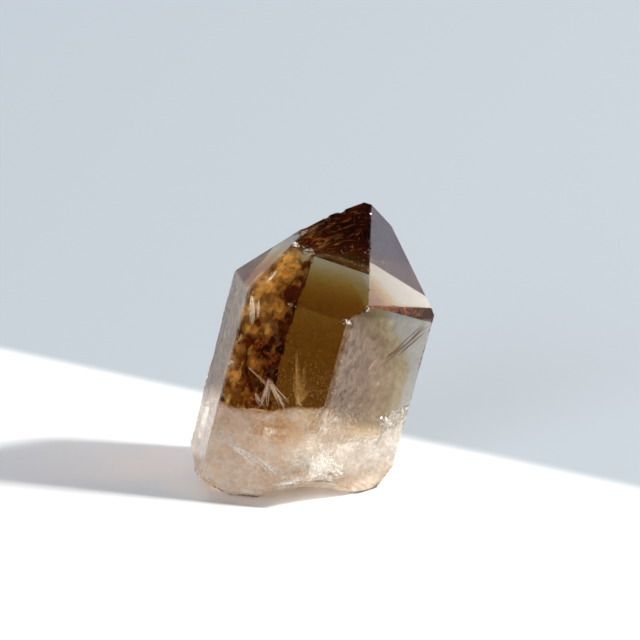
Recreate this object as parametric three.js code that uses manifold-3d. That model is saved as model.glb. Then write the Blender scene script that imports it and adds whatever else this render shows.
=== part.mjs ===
// A smoky quartz point: one crystal, standing on its broken foot.
// Millimetres, +Z up. The origin is under the middle of the crystal's box, on the surface it stands on.
//
// Quartz grows six prism faces parallel to its long axis, and six rhombohedral faces that close it to a
// point. Each face keeps its angle and only its distance differs from one crystal to the next, so the
// body is a block with one half-space cut away per face. What happened to the crystal afterwards is cut
// from that body: the broken foot, the scoops and chips along its edges, and the ledges of growth.

import * as THREE from "three";
import { mergeVertices } from "three/addons/utils/BufferGeometryUtils.js";
import Module from "manifold-3d";

const wasm = await Module();
wasm.setup();

// ---- Driving dimensions -------------------------------------------------------------------------------

// The long axis meets the ground at the root point, from which every distance is measured.
const AXIS_LEAN = 15.0; // degrees from upright
const AXIS_LEANS_TOWARD = 14.6; // degrees from +X towards +Y
const FRONT_FACE_TURN = -121.8; // where the front prism face looks, degrees about the long axis

// Distance of each face from the root point, going round the axis in steps of 60 degrees.
const SIDES = [
  { side: "front", prism: 16.1, rhomb: 36.9 },
  { side: "front right", prism: 15.6, rhomb: 38.9 },
  { side: "right", prism: 19.5, rhomb: 41.0 },
  { side: "back", prism: 16.1, rhomb: 37.3 },
  { side: "back left", prism: 15.1, rhomb: 36.4 },
  { side: "left", prism: 19.5, rhomb: 39.7 },
];
const [FRONT, FRONT_RIGHT, RIGHT, BACK, BACK_LEFT, LEFT] = SIDES.keys();
const STEP_ROUND = 60;

// Quartz's ratio of axes sets the slope of the rhombohedral faces, 51.8 degrees from the long axis.
const AXIAL_RATIO = 1.1;
const RHOMB_TILT = THREE.MathUtils.radToDeg(Math.atan((AXIAL_RATIO * 2) / Math.sqrt(3)));
const PRISM_TILT = 90;

// Two narrow faces that blunt long edges of the prism. The tilt off 90 makes them widen downwards.
const RIGHT_BEVEL = { round: 90, tilt: 90.9, distance: 20.9 };
const LEFT_BEVEL = { round: -90, tilt: 90.3, distance: 20.2, ripple: 0.14 };

// Steps and hollows of the back left prism face, which never grew smooth.
const STEP_DEPTH = 0.22;
const PIT_DEPTH = 0.5;

// The crystal snapped off its rock in one shallow dish with ripples that spread from the back. It touches
// the ground on these three flats and nowhere else.
const FLATS = [
  { x: 15.2, y: -2.6, reach: 6.2 },
  { x: -10.4, y: -7.4, reach: 7.4 },
  { x: 0.6, y: 12.6, reach: 7.2 },
];
const FLAT_FIRMNESS = 1.5; // over 1, so that the middle of each flat is level
const DISH_DEPTH = 1.5;
const DISH_ROUGHNESS = 0.3;
const RIPPLE_HEIGHT = 0.28;
const RIPPLE_PITCH = 3.6;
const BREAK_START = { x: 6, y: 26 };

// Shells that broke away round the foot: centre, radii, turn about X, Y and Z.
const FOOT_SCOOPS = [
  { at: [5.6, -19.6, -9.0], radii: [18.6, 16.5, 15.0], turn: [0, 0, 8] }, // the arch in front
  { at: [-9.5, 22.5, -5.5], radii: [12.0, 9.0, 11.0], turn: [14, 0, 24] }, // back left
  { at: [15.5, 17.5, -4.0], radii: [9.0, 9.0, 8.5], turn: [0, 20, 40] }, // back right
];

// Corners of the foot that broke off flat: a point on the break, and which way it looks, as degrees round
// from +X and degrees below level.
const FOOT_BREAKS = [
  { at: [21.4, -1.0, 3.0], round: -8, below: 42 }, // right, low
  { at: [24.6, -1.0, 8.2], round: -6, below: 12 }, // right, higher up
  { at: [-18.4, 0.0, 6.0], round: 186, below: 4 }, // left
  { at: [-17.3, -2.0, 2.9], round: 200, below: 54 }, // left, low
  { at: [-9.6, -14.0, 2.3], round: 256, below: 68 }, // under the front left
];
const BREAK_ROUGHNESS = 0.22;

// The worst blow fell where the front, left and back left slopes of the point meet, and took a shallow
// shell out of the two ridges that run from there.
const NOTCH = { at: [4.2, 0.5, 55.1], radii: [5.6, 3.2, 3.1], turn: [0, -24, 8] };

// Facets of the cutters: side of a cell on rough faces, and rounds of splitting on scoops and chips.
const FACE_CELL = 1.7;
const FOOT_CELL = 1.5;
const BREAK_CELL = 2.0;
const SCOOP_SPLITS = 4;
const NOTCH_SPLITS = 3;
const CHIP_SPLITS = 1;

const BLOCK = 130; // edge of the starting block, larger than the crystal
const CUTTER = 160; // edge of a cutter that has to pass right through it
const SLAB = 12; // thickness of a cutter with relief
const FULL_LENGTH = 110; // length of a cutter that runs the whole length of the prism
const CHIP_SEED = 7;

// ---- Small tools --------------------------------------------------------------------------------------

const radians = THREE.MathUtils.degToRad;

// A closed geometry as a solid for cutting.
function toSolid(geometry) {
  const bare = geometry.clone();
  bare.deleteAttribute("normal");
  bare.deleteAttribute("uv");
  const merged = mergeVertices(bare, 1e-5);
  return new wasm.Manifold(
    new wasm.Mesh({
      numProp: 3,
      vertProperties: new Float32Array(merged.attributes.position.array),
      triVerts: new Uint32Array(merged.index.array),
    }),
  );
}

// A solid as a geometry to draw.
function toGeometry(solid) {
  const mesh = solid.getMesh();
  const geometry = new THREE.BufferGeometry();
  geometry.setAttribute("position", new THREE.BufferAttribute(mesh.vertProperties, 3));
  geometry.setIndex(new THREE.BufferAttribute(mesh.triVerts, 1));
  return geometry;
}

// Repeatable random numbers from 0 to 1.
function randomFrom(seed) {
  let state = seed >>> 0;
  return () => {
    state = (Math.imul(state, 1664525) + 1013904223) >>> 0;
    return state / 4294967296;
  };
}

// Smooth, repeatable unevenness from about -1 to 1, with features about one unit across.
function uneven(x, y, phase) {
  return (
    0.5 * Math.sin(1.9 * x + 1.1 * y + phase) +
    0.3 * Math.sin(2.7 * y - 1.6 * x + 2.3 * phase) +
    0.2 * Math.sin(4.3 * x + 3.1 * y + 3.7 * phase)
  );
}

// The frame of the long axis: local Z runs along it, local X looks out of the front prism face.
const axisFrame = new THREE.Matrix4()
  .makeRotationZ(radians(AXIS_LEANS_TOWARD))
  .multiply(new THREE.Matrix4().makeRotationY(radians(AXIS_LEAN)))
  .multiply(new THREE.Matrix4().makeRotationZ(radians(FRONT_FACE_TURN)));

// A frame that looks straight out of a face: local Z is the face's outward normal, local Y runs across it
// and its origin lies on the face. round and tilt are in degrees, tilt being measured from the long axis.
function faceFrame(round, tilt, distance) {
  return new THREE.Matrix4()
    .copy(axisFrame)
    .multiply(new THREE.Matrix4().makeRotationZ(radians(round)))
    .multiply(new THREE.Matrix4().makeRotationY(radians(tilt)))
    .multiply(new THREE.Matrix4().makeRotationZ(Math.PI / 2))
    .multiply(new THREE.Matrix4().makeTranslation(0, 0, distance));
}

// The frame of one of the crystal's own faces.
function sideFrame(side, isRhomb) {
  const tilt = isRhomb ? RHOMB_TILT : PRISM_TILT;
  const distance = isRhomb ? SIDES[side].rhomb : SIDES[side].prism;
  return faceFrame(side * STEP_ROUND, tilt, distance);
}

// The corner where three of the crystal's faces meet, each given as [side, true for its rhomb face].
function cornerOf(...faces) {
  const [a, b, c] = faces.map(([side, isRhomb]) => {
    const frame = sideFrame(side, isRhomb);
    const normal = new THREE.Vector3().setFromMatrixColumn(frame, 2);
    const onFace = new THREE.Vector3().setFromMatrixPosition(frame);
    return { normal, distance: normal.dot(onFace) };
  });
  const bc = new THREE.Vector3().crossVectors(b.normal, c.normal);
  const ca = new THREE.Vector3().crossVectors(c.normal, a.normal);
  const ab = new THREE.Vector3().crossVectors(a.normal, b.normal);
  const scale = 1 / a.normal.dot(bc);
  return bc
    .multiplyScalar(a.distance)
    .addScaledVector(ca, b.distance)
    .addScaledVector(ab, c.distance)
    .multiplyScalar(scale);
}

// ---- Cutters ------------------------------------------------------------------------------------------

// What lies outside one flat face.
function flatCutter(frame) {
  const box = new THREE.BoxGeometry(CUTTER, CUTTER, CUTTER);
  box.translate(0, 0, CUTTER / 2);
  return toSolid(box.applyMatrix4(frame));
}

// A slab whose near side carries relief, for faces that aren't smooth: relief(x, y) is the height of the
// crystal's new surface over the frame's plane.
function reliefCutter(frame, width, height, cell, relief) {
  const across = Math.round(width / cell);
  const along = Math.round(height / cell);
  const slab = new THREE.BoxGeometry(width, height, SLAB, across, along, 1);
  const place = slab.attributes.position;
  for (let i = 0; i < place.count; i++) {
    const isNear = place.getZ(i) < 0;
    place.setZ(i, isNear ? relief(place.getX(i), place.getY(i)) : SLAB);
  }
  return toSolid(slab.applyMatrix4(frame));
}

// A shell-shaped scoop: a faceted ellipsoid.
function scoopCutter({ at, radii, turn }, splits) {
  const ball = new THREE.IcosahedronGeometry(1, splits);
  ball.scale(...radii);
  const pose = new THREE.Matrix4().makeRotationFromEuler(new THREE.Euler(...turn.map(radians)));
  pose.setPosition(...at);
  return toSolid(ball.applyMatrix4(pose));
}

// ---- The grown crystal --------------------------------------------------------------------------------

function grownCrystal() {
  let body = toSolid(new THREE.BoxGeometry(BLOCK, BLOCK, BLOCK));
  for (const side of SIDES.keys()) {
    body = body.subtract(flatCutter(sideFrame(side, false)));
    body = body.subtract(flatCutter(sideFrame(side, true)));
  }
  return body;
}

function bevels() {
  const right = faceFrame(RIGHT_BEVEL.round, RIGHT_BEVEL.tilt, RIGHT_BEVEL.distance);
  const left = faceFrame(LEFT_BEVEL.round, LEFT_BEVEL.tilt, LEFT_BEVEL.distance);
  const width = 12;
  const wavy = (x, y) => LEFT_BEVEL.ripple * (uneven(x / 3, y / 2.2, 1.3) - 1);
  return [flatCutter(right), reliefCutter(left, width, FULL_LENGTH, FACE_CELL, wavy)];
}

// Steps run across the back left face, and hollows pit it.
function roughBackFace() {
  const width = 40;
  const relief = (x, y) => {
    const steps = Math.round(1.4 * uneven(x / 14, y / 3.1, 0.4) - 1.4) * STEP_DEPTH;
    const hollows = Math.min(0, uneven(x / 2.1, y / 2.6, 2.1)) * PIT_DEPTH;
    return Math.min(0, steps + hollows);
  };
  return reliefCutter(sideFrame(BACK_LEFT, false), width, FULL_LENGTH, FACE_CELL, relief);
}

// ---- The broken foot ----------------------------------------------------------------------------------

// Height of the break over the ground.
function footRelief(x, y) {
  let hold = 0;
  for (const flat of FLATS) {
    const away = Math.hypot(x - flat.x, y - flat.y) / flat.reach;
    hold = Math.max(hold, FLAT_FIRMNESS * Math.exp(-away * away));
  }
  const spread = Math.hypot(x - BREAK_START.x, y - BREAK_START.y);
  const ripple = RIPPLE_HEIGHT * Math.sin((2 * Math.PI * spread) / RIPPLE_PITCH);
  const rough = DISH_ROUGHNESS * uneven(x / 3, y / 3, 0.9);
  return Math.max(0, DISH_DEPTH * (1 - hold) + (ripple + rough) * (1 - Math.min(1, hold)));
}

function footCutters() {
  const width = 60;
  const depth = 52;
  // Turned over, local Y runs backwards and heights count downwards.
  const facingDown = new THREE.Matrix4().makeRotationX(Math.PI);
  const dish = (x, y) => -footRelief(x, -y);
  return [flatCutter(facingDown), reliefCutter(facingDown, width, depth, FOOT_CELL, dish)];
}

function footBreaks() {
  const width = 34;
  const height = 44;
  return FOOT_BREAKS.map((part, i) => {
    const frame = new THREE.Matrix4()
      .makeTranslation(...part.at)
      .multiply(new THREE.Matrix4().makeRotationZ(radians(part.round)))
      .multiply(new THREE.Matrix4().makeRotationY(radians(90 + part.below)));
    const rough = (x, y) => BREAK_ROUGHNESS * (uneven(x / 2.4, y / 2.9, 1.7 * i) - 0.6);
    return reliefCutter(frame, width, height, BREAK_CELL, rough);
  });
}

// ---- Chips along the edges of the point ---------------------------------------------------------------

// Worn edges of the point: the corners each runs between, how many chips it lost, and their size.
const WORN_EDGES = [
  {
    from: cornerOf([FRONT, true], [FRONT_RIGHT, true], [FRONT_RIGHT, false]),
    to: cornerOf([FRONT, true], [FRONT_RIGHT, true], [BACK, true]),
    chips: 6,
    size: 0.34,
  },
  {
    from: cornerOf([FRONT, true], [FRONT, false], [FRONT_RIGHT, false]),
    to: cornerOf([FRONT, true], [FRONT_RIGHT, true], [FRONT_RIGHT, false]),
    chips: 4,
    size: 0.4,
  },
  {
    from: cornerOf([FRONT, true], [BACK_LEFT, true], [LEFT, true]),
    to: cornerOf([FRONT, true], [BACK_LEFT, true], [BACK, true]),
    chips: 6,
    size: 0.6,
  },
  {
    from: cornerOf([FRONT_RIGHT, true], [RIGHT, true], [BACK, true]),
    to: cornerOf([FRONT_RIGHT, true], [RIGHT, true], [FRONT_RIGHT, false]),
    chips: 3,
    size: 0.35,
  },
];

function edgeChips() {
  const random = randomFrom(CHIP_SEED);
  const between = (low, high) => low + (high - low) * random();
  const chips = [];
  for (const edge of WORN_EDGES) {
    for (let i = 0; i < edge.chips; i++) {
      const along = (i + between(0.15, 0.85)) / edge.chips;
      const spot = new THREE.Vector3().lerpVectors(edge.from, edge.to, along);
      const size = edge.size * between(0.6, 1.4);
      const radii = [size * between(1.2, 2.2), size, size * between(0.7, 1.2)];
      const turn = [between(0, 180), between(0, 180), between(0, 180)];
      chips.push(scoopCutter({ at: spot.toArray(), radii, turn }, CHIP_SPLITS));
    }
  }
  return chips;
}

// ---- The finished piece -------------------------------------------------------------------------------

function quartzPoint() {
  const cuts = [
    ...bevels(),
    roughBackFace(),
    ...footCutters(),
    ...FOOT_SCOOPS.map((scoop) => scoopCutter(scoop, SCOOP_SPLITS)),
    ...footBreaks(),
    ...edgeChips(),
    scoopCutter(NOTCH, NOTCH_SPLITS),
  ];
  const body = cuts.reduce((rest, cut) => rest.subtract(cut), grownCrystal());
  const geometry = toGeometry(body);
  geometry.computeBoundingBox();
  const middle = geometry.boundingBox.getCenter(new THREE.Vector3());
  geometry.translate(-middle.x, -middle.y, 0);

  const material = new THREE.MeshPhysicalMaterial({
    color: 0xc9b79c,
    roughness: 0.05,
    metalness: 0,
    transmission: 1,
    ior: 1.545,
    thickness: 35,
    attenuationColor: 0x8a5a1c,
    attenuationDistance: 18,
    flatShading: true,
  });
  const mesh = new THREE.Mesh(geometry, material);
  mesh.name = "quartz_point";
  return mesh;
}

const crystal = new THREE.Group();
crystal.add(quartzPoint());

export default crystal;
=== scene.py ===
# A smoky quartz point: one clear crystal with brown smoke in its upper part and a milky, cracked foot,
# standing on plain pale paper in soft light.
#
# Laid out as an add-on. Lengths are written in millimetres and turned into metres by mm(). All pieces sit
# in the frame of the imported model, whose one node is the crystal itself.

import math
import random

import bmesh
import bpy
from bpy.props import FloatProperty, FloatVectorProperty, PointerProperty
from mathutils import Matrix, Vector, noise
from mathutils.bvhtree import BVHTree


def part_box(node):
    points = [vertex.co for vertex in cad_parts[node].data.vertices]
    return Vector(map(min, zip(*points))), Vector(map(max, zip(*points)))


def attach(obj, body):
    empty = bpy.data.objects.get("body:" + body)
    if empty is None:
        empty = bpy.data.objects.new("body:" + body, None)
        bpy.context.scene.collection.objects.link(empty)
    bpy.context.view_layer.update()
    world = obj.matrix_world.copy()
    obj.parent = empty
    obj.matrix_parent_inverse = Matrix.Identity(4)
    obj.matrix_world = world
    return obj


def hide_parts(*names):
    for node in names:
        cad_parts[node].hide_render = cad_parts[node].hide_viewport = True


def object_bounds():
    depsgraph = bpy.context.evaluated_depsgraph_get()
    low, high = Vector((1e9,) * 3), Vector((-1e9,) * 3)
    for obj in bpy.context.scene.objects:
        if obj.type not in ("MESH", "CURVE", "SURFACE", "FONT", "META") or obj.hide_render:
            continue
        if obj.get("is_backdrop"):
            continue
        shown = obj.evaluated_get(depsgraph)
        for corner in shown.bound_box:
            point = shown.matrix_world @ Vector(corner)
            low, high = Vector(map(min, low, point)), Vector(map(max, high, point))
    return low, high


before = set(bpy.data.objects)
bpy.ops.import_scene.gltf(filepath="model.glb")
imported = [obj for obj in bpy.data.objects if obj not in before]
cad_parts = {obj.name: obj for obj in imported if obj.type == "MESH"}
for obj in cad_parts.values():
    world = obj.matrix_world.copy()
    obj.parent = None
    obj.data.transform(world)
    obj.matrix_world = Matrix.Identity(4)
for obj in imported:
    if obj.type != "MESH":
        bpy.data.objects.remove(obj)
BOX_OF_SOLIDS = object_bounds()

bl_info = {
    "name": "Smoky quartz point",
    "version": (1, 0, 0),
    "blender": (4, 5, 0),
    "location": "View3D > Sidebar > Quartz",
    "description": "Builds a smoky quartz point with its smoke, veils and needles, on a plain stage",
    "category": "Object",
}

NODE = "quartz_point"
BODY = "root"

# The crystal's own directions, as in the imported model: the long axis leans, and the faces go round it.
AXIS_LEAN = math.radians(15.0)
AXIS_LEANS_TOWARD = math.radians(14.6)
FRONT_FACE_TURN = math.radians(-121.8)
PRISM_TILT = math.radians(90)
QUARTZ_HEIGHT = 1.1  # of quartz's own cell, as a share of its width
SLOPE_TILT = math.atan(QUARTZ_HEIGHT * 2 / math.sqrt(3))
SIDES = ("front", "front right", "right", "back", "back left", "left")

SAME_FACE_TURN = math.radians(0.6)  # polygons that look this nearly the same way are one grown face
LEAST_FACE = 12.0  # square millimetres; a smaller flat patch is a break or a chip
SQUARE_MM = 1e-6  # in square metres

# Each step that draws random numbers has its own seed, so that it comes out the same every time.
SEEDS = {
    "crystal": 3,
    "cracks": 11,
    "plume": 17,
    "splinters": 23,
    "needles": 29,
    "bruises": 31,
    "streaks": 37,
}


# ---- Small tools --------------------------------------------------------------------------------------


def mm(value):
    """Millimetres as metres: one number, or a point."""
    if isinstance(value, (int, float)):
        return value * 0.001
    return Vector(value) * 0.001


def seeded(step):
    """The random numbers of one step."""
    noise.seed_set(SEEDS[step])
    return random.Random(SEEDS[step])


def piece_of(name, mesh, material, smooth=False):
    """A new object that rides on the crystal's body and takes its finish from the one slot."""
    made = bpy.data.objects.new(name, mesh)
    bpy.context.scene.collection.objects.link(made)
    mesh.materials.clear()
    mesh.materials.append(material)
    mesh.polygons.foreach_set("use_smooth", [smooth] * len(mesh.polygons))
    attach(made, BODY)
    return made


def loose(name, mesh):
    """A working object, to cut with or to be cut. It is gone before the stage is set."""
    made = bpy.data.objects.new(name, mesh)
    bpy.context.scene.collection.objects.link(made)
    return made


def mesh_from(name, build):
    """A mesh filled by build(bm)."""
    bm = bmesh.new()
    build(bm)
    mesh = bpy.data.meshes.new(name)
    bm.to_mesh(mesh)
    bm.free()
    return mesh


def cut(target, cutter, operation="DIFFERENCE"):
    """Cuts the target with the cutter, or keeps what they share, and removes the cutter."""
    modifier = target.modifiers.new("cut", "BOOLEAN")
    modifier.operation = operation
    modifier.solver = "MANIFOLD"
    modifier.object = cutter
    bpy.context.view_layer.update()
    seen = target.evaluated_get(bpy.context.evaluated_depsgraph_get())
    done = bpy.data.meshes.new_from_object(seen)
    target.modifiers.remove(modifier)
    before, target.data = target.data, done
    bpy.data.meshes.remove(before)
    worn = cutter.data
    bpy.data.objects.remove(cutter)
    bpy.data.meshes.remove(worn)
    if not target.data.polygons:
        raise RuntimeError(f"{target.name}: nothing is left after a cut")


WELD = 0.0005
LEAST_EDGE = 0.0002


def crystal_mesh(name):
    """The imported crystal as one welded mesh."""

    def build(bm):
        bm.from_mesh(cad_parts[NODE].data)
        bmesh.ops.remove_doubles(bm, verts=bm.verts, dist=mm(WELD))
        bmesh.ops.dissolve_degenerate(bm, dist=mm(LEAST_EDGE), edges=bm.edges)

    return mesh_from(name, build)


# ---- The crystal's directions -------------------------------------------------------------------------


def axis_frame():
    """Turns the crystal's directions into the frame's: Z along the long axis, X out of the front face."""
    lean = Matrix.Rotation(AXIS_LEANS_TOWARD, 3, "Z") @ Matrix.Rotation(AXIS_LEAN, 3, "Y")
    return lean @ Matrix.Rotation(FRONT_FACE_TURN, 3, "Z")


class Face:
    """A flat face in or on the crystal, with directions across and along it as seen from outside."""

    def __init__(self, normal, distance, up):
        self.normal = normal
        self.distance = distance
        self.across = up.cross(normal).normalized()
        self.along = normal.cross(self.across)

    def under(self, place):
        """How many millimetres a place lies under the face."""
        return (self.distance - place.dot(self.normal)) / mm(1)

    def at(self, across, along, depth=0.0):
        """The point that lies so many millimetres across and along the face, and so deep under it."""
        place = self.across * across + self.along * along - self.normal * depth
        return self.normal * self.distance + mm(place)


def grown_face(side, tilt):
    """A face of the crystal by its side and tilt from the long axis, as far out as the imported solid's."""
    round_axis = math.radians(60) * SIDES.index(side)
    turned = axis_frame()
    flat = Vector((math.cos(round_axis), math.sin(round_axis), 0)) * math.sin(tilt)
    normal = turned @ (flat + Vector((0, 0, math.cos(tilt))))
    near = math.cos(SAME_FACE_TURN)
    polygons = [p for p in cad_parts[NODE].data.polygons if p.normal.dot(normal) > near]
    area = sum(p.area for p in polygons)
    if area < SQUARE_MM:
        raise RuntimeError(f"the packed crystal has no {side} face")
    distance = sum(p.area * p.center.dot(normal) for p in polygons) / area
    return Face(normal, distance, turned @ Vector((0, 0, 1)))


def prism_face(side):
    return grown_face(side, PRISM_TILT)


def slope_face(side):
    return grown_face(side, SLOPE_TILT)


# ---- Materials ----------------------------------------------------------------------------------------

LAMPS_REACH_IN = 0.42  # share of the lamps' light that gets in past the crystal's surface


NUMBER_ENDS = (2, 3)  # the sockets of a Mix node for its two numbers, and for its two colours
COLOUR_ENDS = (6, 7)
MIXED_COLOUR = 2  # the output for the mixed colour


class Nodes:
    """Adds and joins the nodes of one material."""

    def __init__(self, name):
        self.material = bpy.data.materials.new(name)
        self.material.use_nodes = True
        self.tree = self.material.node_tree
        self.tree.nodes.clear()
        self.output = self.add("OutputMaterial")

    def add(self, kind, **settings):
        """A ShaderNode. Settings name its properties, or its inputs by a value or the socket before them."""
        node = self.tree.nodes.new("ShaderNode" + kind)
        for key, value in settings.items():
            if hasattr(node, key):
                setattr(node, key, value)
        for key, value in settings.items():
            if not hasattr(node, key):
                self.feed(node.inputs[key.replace("_", " ")], value)
        return node

    def feed(self, socket, value):
        """Gives an input its value, or joins it to the socket before it."""
        if isinstance(value, bpy.types.NodeSocket):
            self.tree.links.new(value, socket)
        else:
            socket.default_value = value

    def math(self, operation, first, second=0.0, clamp=False):
        node = self.add("Math", operation=operation, use_clamp=clamp)
        self.feed(node.inputs[0], first)
        self.feed(node.inputs[1], second)
        return node.outputs[0]

    def ramp(self, value, start, end, low=0.0, high=1.0):
        """Goes smoothly from low to high while the value goes from start to end."""
        node = self.add("MapRange", interpolation_type="SMOOTHSTEP", Value=value)
        for name, number in (("From Min", start), ("From Max", end), ("To Min", low), ("To Max", high)):
            self.feed(node.inputs[name], number)
        return node.outputs[0]

    def blend(self, share, first, second):
        """A colour between two colours."""
        node = self.add("Mix", data_type="RGBA")
        self.feed(node.inputs["Factor"], share)
        for number, colour in zip(COLOUR_ENDS, (first, second)):
            self.feed(node.inputs[number], (*colour, 1))
        return node.outputs[MIXED_COLOUR]

    def mixed(self, share, first, second):
        """A shader between two shaders."""
        node = self.add("MixShader")
        for socket, value in zip(node.inputs, (share, first, second)):
            self.feed(socket, value)
        return node.outputs[0]

    def surface(self, shader):
        self.tree.links.new(shader, self.output.inputs["Surface"])


def absorbing(nodes, per_metre):
    """Plain absorption: how much of red, green and blue a metre takes, as its natural logarithm."""
    density = max(per_metre)
    colour = [1 - part / density for part in per_metre] + [1.0]
    volume = nodes.add("VolumeAbsorption", Density=density)
    volume.inputs["Color"].default_value = colour
    nodes.tree.links.new(volume.outputs[0], nodes.output.inputs["Volume"])


def letting_lamps_through(nodes, shader, share=LAMPS_REACH_IN):
    """Lets rays from the lamps reach what is inside, which real light does by bending its way in."""
    clear = nodes.add("BsdfTransparent", Color=(share, share, share, 1))
    path = nodes.add("LightPath")
    nodes.surface(nodes.mixed(path.outputs["Is Shadow Ray"], shader, clear.outputs[0]))


# The grain and the growth lines of the quartz surface, in waves per metre.
QUARTZ_GRAIN = 900.0
GROWTH_LINES = (80.0, 80.0, 900.0)  # in X, Y and Z, so that the lines run level
QUARTZ_BUMP = 0.04
QUARTZ_BUMP_HEIGHT = 0.1
BREAK_GRAIN = (0.2, 0.7)  # a break is smooth where its grain is below the first, and matt above the second
BREAK_MATT = 0.22


def quartz_material(looks):
    """Clear quartz, smooth with faint growth lines where it grew, and matt where it broke."""
    nodes = Nodes("quartz")
    place = nodes.add("TexCoord").outputs["Object"]
    broken = nodes.add("Attribute", attribute_name="broken").outputs["Fac"]
    grain = nodes.add("TexNoise", Vector=place, Scale=QUARTZ_GRAIN, Detail=4.0)
    lines = nodes.add("Mapping", Vector=place, Scale=GROWTH_LINES)
    lines.inputs["Rotation"].default_value = axis_frame().inverted().to_euler()
    growth = nodes.add("TexNoise", Vector=lines.outputs[0], Scale=1.0, Detail=3.0)
    height = nodes.add("Mix")
    nodes.feed(height.inputs["Factor"], broken)
    for number, texture in zip(NUMBER_ENDS, (growth, grain)):
        nodes.feed(height.inputs[number], texture.outputs["Fac"])
    bump = nodes.add(
        "Bump", Strength=QUARTZ_BUMP, Distance=mm(QUARTZ_BUMP_HEIGHT), Height=height.outputs[0]
    )
    grain_of_break = nodes.math("MULTIPLY", broken, grain.outputs["Fac"])
    rough = nodes.ramp(grain_of_break, *BREAK_GRAIN, 0.0, BREAK_MATT)
    body = nodes.add("BsdfPrincipled", IOR=looks.bending, Roughness=rough, Normal=bump.outputs[0])
    body.inputs["Base Color"].default_value = (1, 1, 1, 1)
    body.inputs["Transmission Weight"].default_value = 1.0
    letting_lamps_through(nodes, body.outputs[0])
    absorbing(nodes, looks.clear_takes)
    return nodes.material


def smoke_material(name, per_metre):
    """Brown smoke inside the quartz: it bends nothing, and takes light all the way through."""
    nodes = Nodes(name)
    body = nodes.add("BsdfPrincipled", IOR=1.0, Roughness=0.0)
    body.inputs["Transmission Weight"].default_value = 1.0
    body.inputs["Base Color"].default_value = (1, 1, 1, 1)
    letting_lamps_through(nodes, body.outputs[0], share=1.0)
    absorbing(nodes, per_metre)
    return nodes.material


VEIL_GRAIN = (0.30, 0.70)  # between these values of its grain
VEIL_GRAIN_MILK = (0.25, 1.45)  # a veil's milk grows from so many times its own to so many times


def veil_material(name, looks, pale, dim, grain_size):
    """A milky or cracked layer: each point is as solid as its milk says, and as light as its pale says."""
    nodes = Nodes(name)
    place = nodes.add("TexCoord").outputs["Object"]
    milk = nodes.add("Attribute", attribute_name="milk").outputs["Fac"]
    light = nodes.add("Attribute", attribute_name="pale").outputs["Fac"]
    grain = nodes.add("TexNoise", Vector=place, Scale=1 / mm(grain_size), Detail=5.0, Roughness=0.65)
    patch = nodes.ramp(grain.outputs["Fac"], *VEIL_GRAIN, *VEIL_GRAIN_MILK)
    solid = nodes.math("MULTIPLY", milk, patch, clamp=True)
    colour = nodes.blend(light, dim, pale)
    front = nodes.add("BsdfDiffuse", Color=colour)
    behind = nodes.add("BsdfTranslucent", Color=colour)
    both = nodes.mixed(looks.veil_glow, front.outputs[0], behind.outputs[0])
    clear = nodes.add("BsdfTransparent")
    nodes.surface(nodes.mixed(solid, clear.outputs[0], both))
    return nodes.material


def mirror_material(name, colour, roughness):
    """A gap in the quartz that light bounces off, silvery."""
    nodes = Nodes(name)
    body = nodes.add("BsdfPrincipled", Metallic=1.0, Roughness=roughness)
    body.inputs["Base Color"].default_value = (*colour, 1)
    nodes.surface(body.outputs[0])
    return nodes.material


NEEDLE_GRAIN = 1800.0  # waves per metre
NEEDLE_SHADES = (0.5, 1.6)  # the darkest and lightest of it, as shares of its colour
NEEDLE_ROUGHNESS = 0.35


def needle_material(name, colour):
    """A thin mineral needle or grain, brown and a little glossy."""
    nodes = Nodes(name)
    place = nodes.add("TexCoord").outputs["Object"]
    grain = nodes.add("TexNoise", Vector=place, Scale=NEEDLE_GRAIN, Detail=3.0)
    ends = [[min(1, part * shade) for part in colour] for shade in NEEDLE_SHADES]
    shaded = nodes.blend(grain.outputs["Fac"], *ends)
    body = nodes.add("BsdfPrincipled", Roughness=NEEDLE_ROUGHNESS)
    nodes.feed(body.inputs["Base Color"], shaded)
    nodes.surface(body.outputs[0])
    return nodes.material


PAPER_GRAIN = 700.0  # waves per metre
PAPER_BUMP = 0.05
PAPER_BUMP_HEIGHT = 0.05
PAPER_ROUGHNESS = 0.9
PAPER_SHINE = 0.1


def paper_material(stage):
    """Plain paper, with a soft-edged shade over its far side."""
    nodes = Nodes("paper")
    place = nodes.add("TexCoord").outputs["Object"]
    away = nodes.add("VectorMath", operation="DOT_PRODUCT")
    nodes.feed(away.inputs[0], place)
    nodes.feed(away.inputs[1], (math.cos(stage.shade_looks), math.sin(stage.shade_looks), 0))
    edge = nodes.ramp(away.outputs["Value"], stage.shade_starts, stage.shade_starts + stage.shade_fades)
    grain = nodes.add("TexNoise", Vector=place, Scale=PAPER_GRAIN, Detail=6.0)
    colour = nodes.blend(edge, stage.paper, stage.shade)
    bump = nodes.add(
        "Bump", Strength=PAPER_BUMP, Distance=mm(PAPER_BUMP_HEIGHT), Height=grain.outputs["Fac"]
    )
    body = nodes.add("BsdfPrincipled", Roughness=PAPER_ROUGHNESS, Normal=bump.outputs[0])
    nodes.feed(body.inputs["Base Color"], colour)
    body.inputs["Specular IOR Level"].default_value = PAPER_SHINE
    nodes.surface(body.outputs[0])
    return nodes.material


# ---- Settings -----------------------------------------------------------------------------------------


def taking(name, description, default):
    return FloatVectorProperty(name=name, description=description, default=default, size=3, min=0.0)


def tint(name, description, default):
    return FloatVectorProperty(
        name=name, description=description, default=default, size=3, min=0.0, max=1.0, subtype="COLOR"
    )


def length(name, description, default):
    """A length whose default is given in millimetres."""
    return FloatProperty(
        name=name, description=description, default=mm(default), unit="LENGTH", subtype="DISTANCE"
    )


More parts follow.
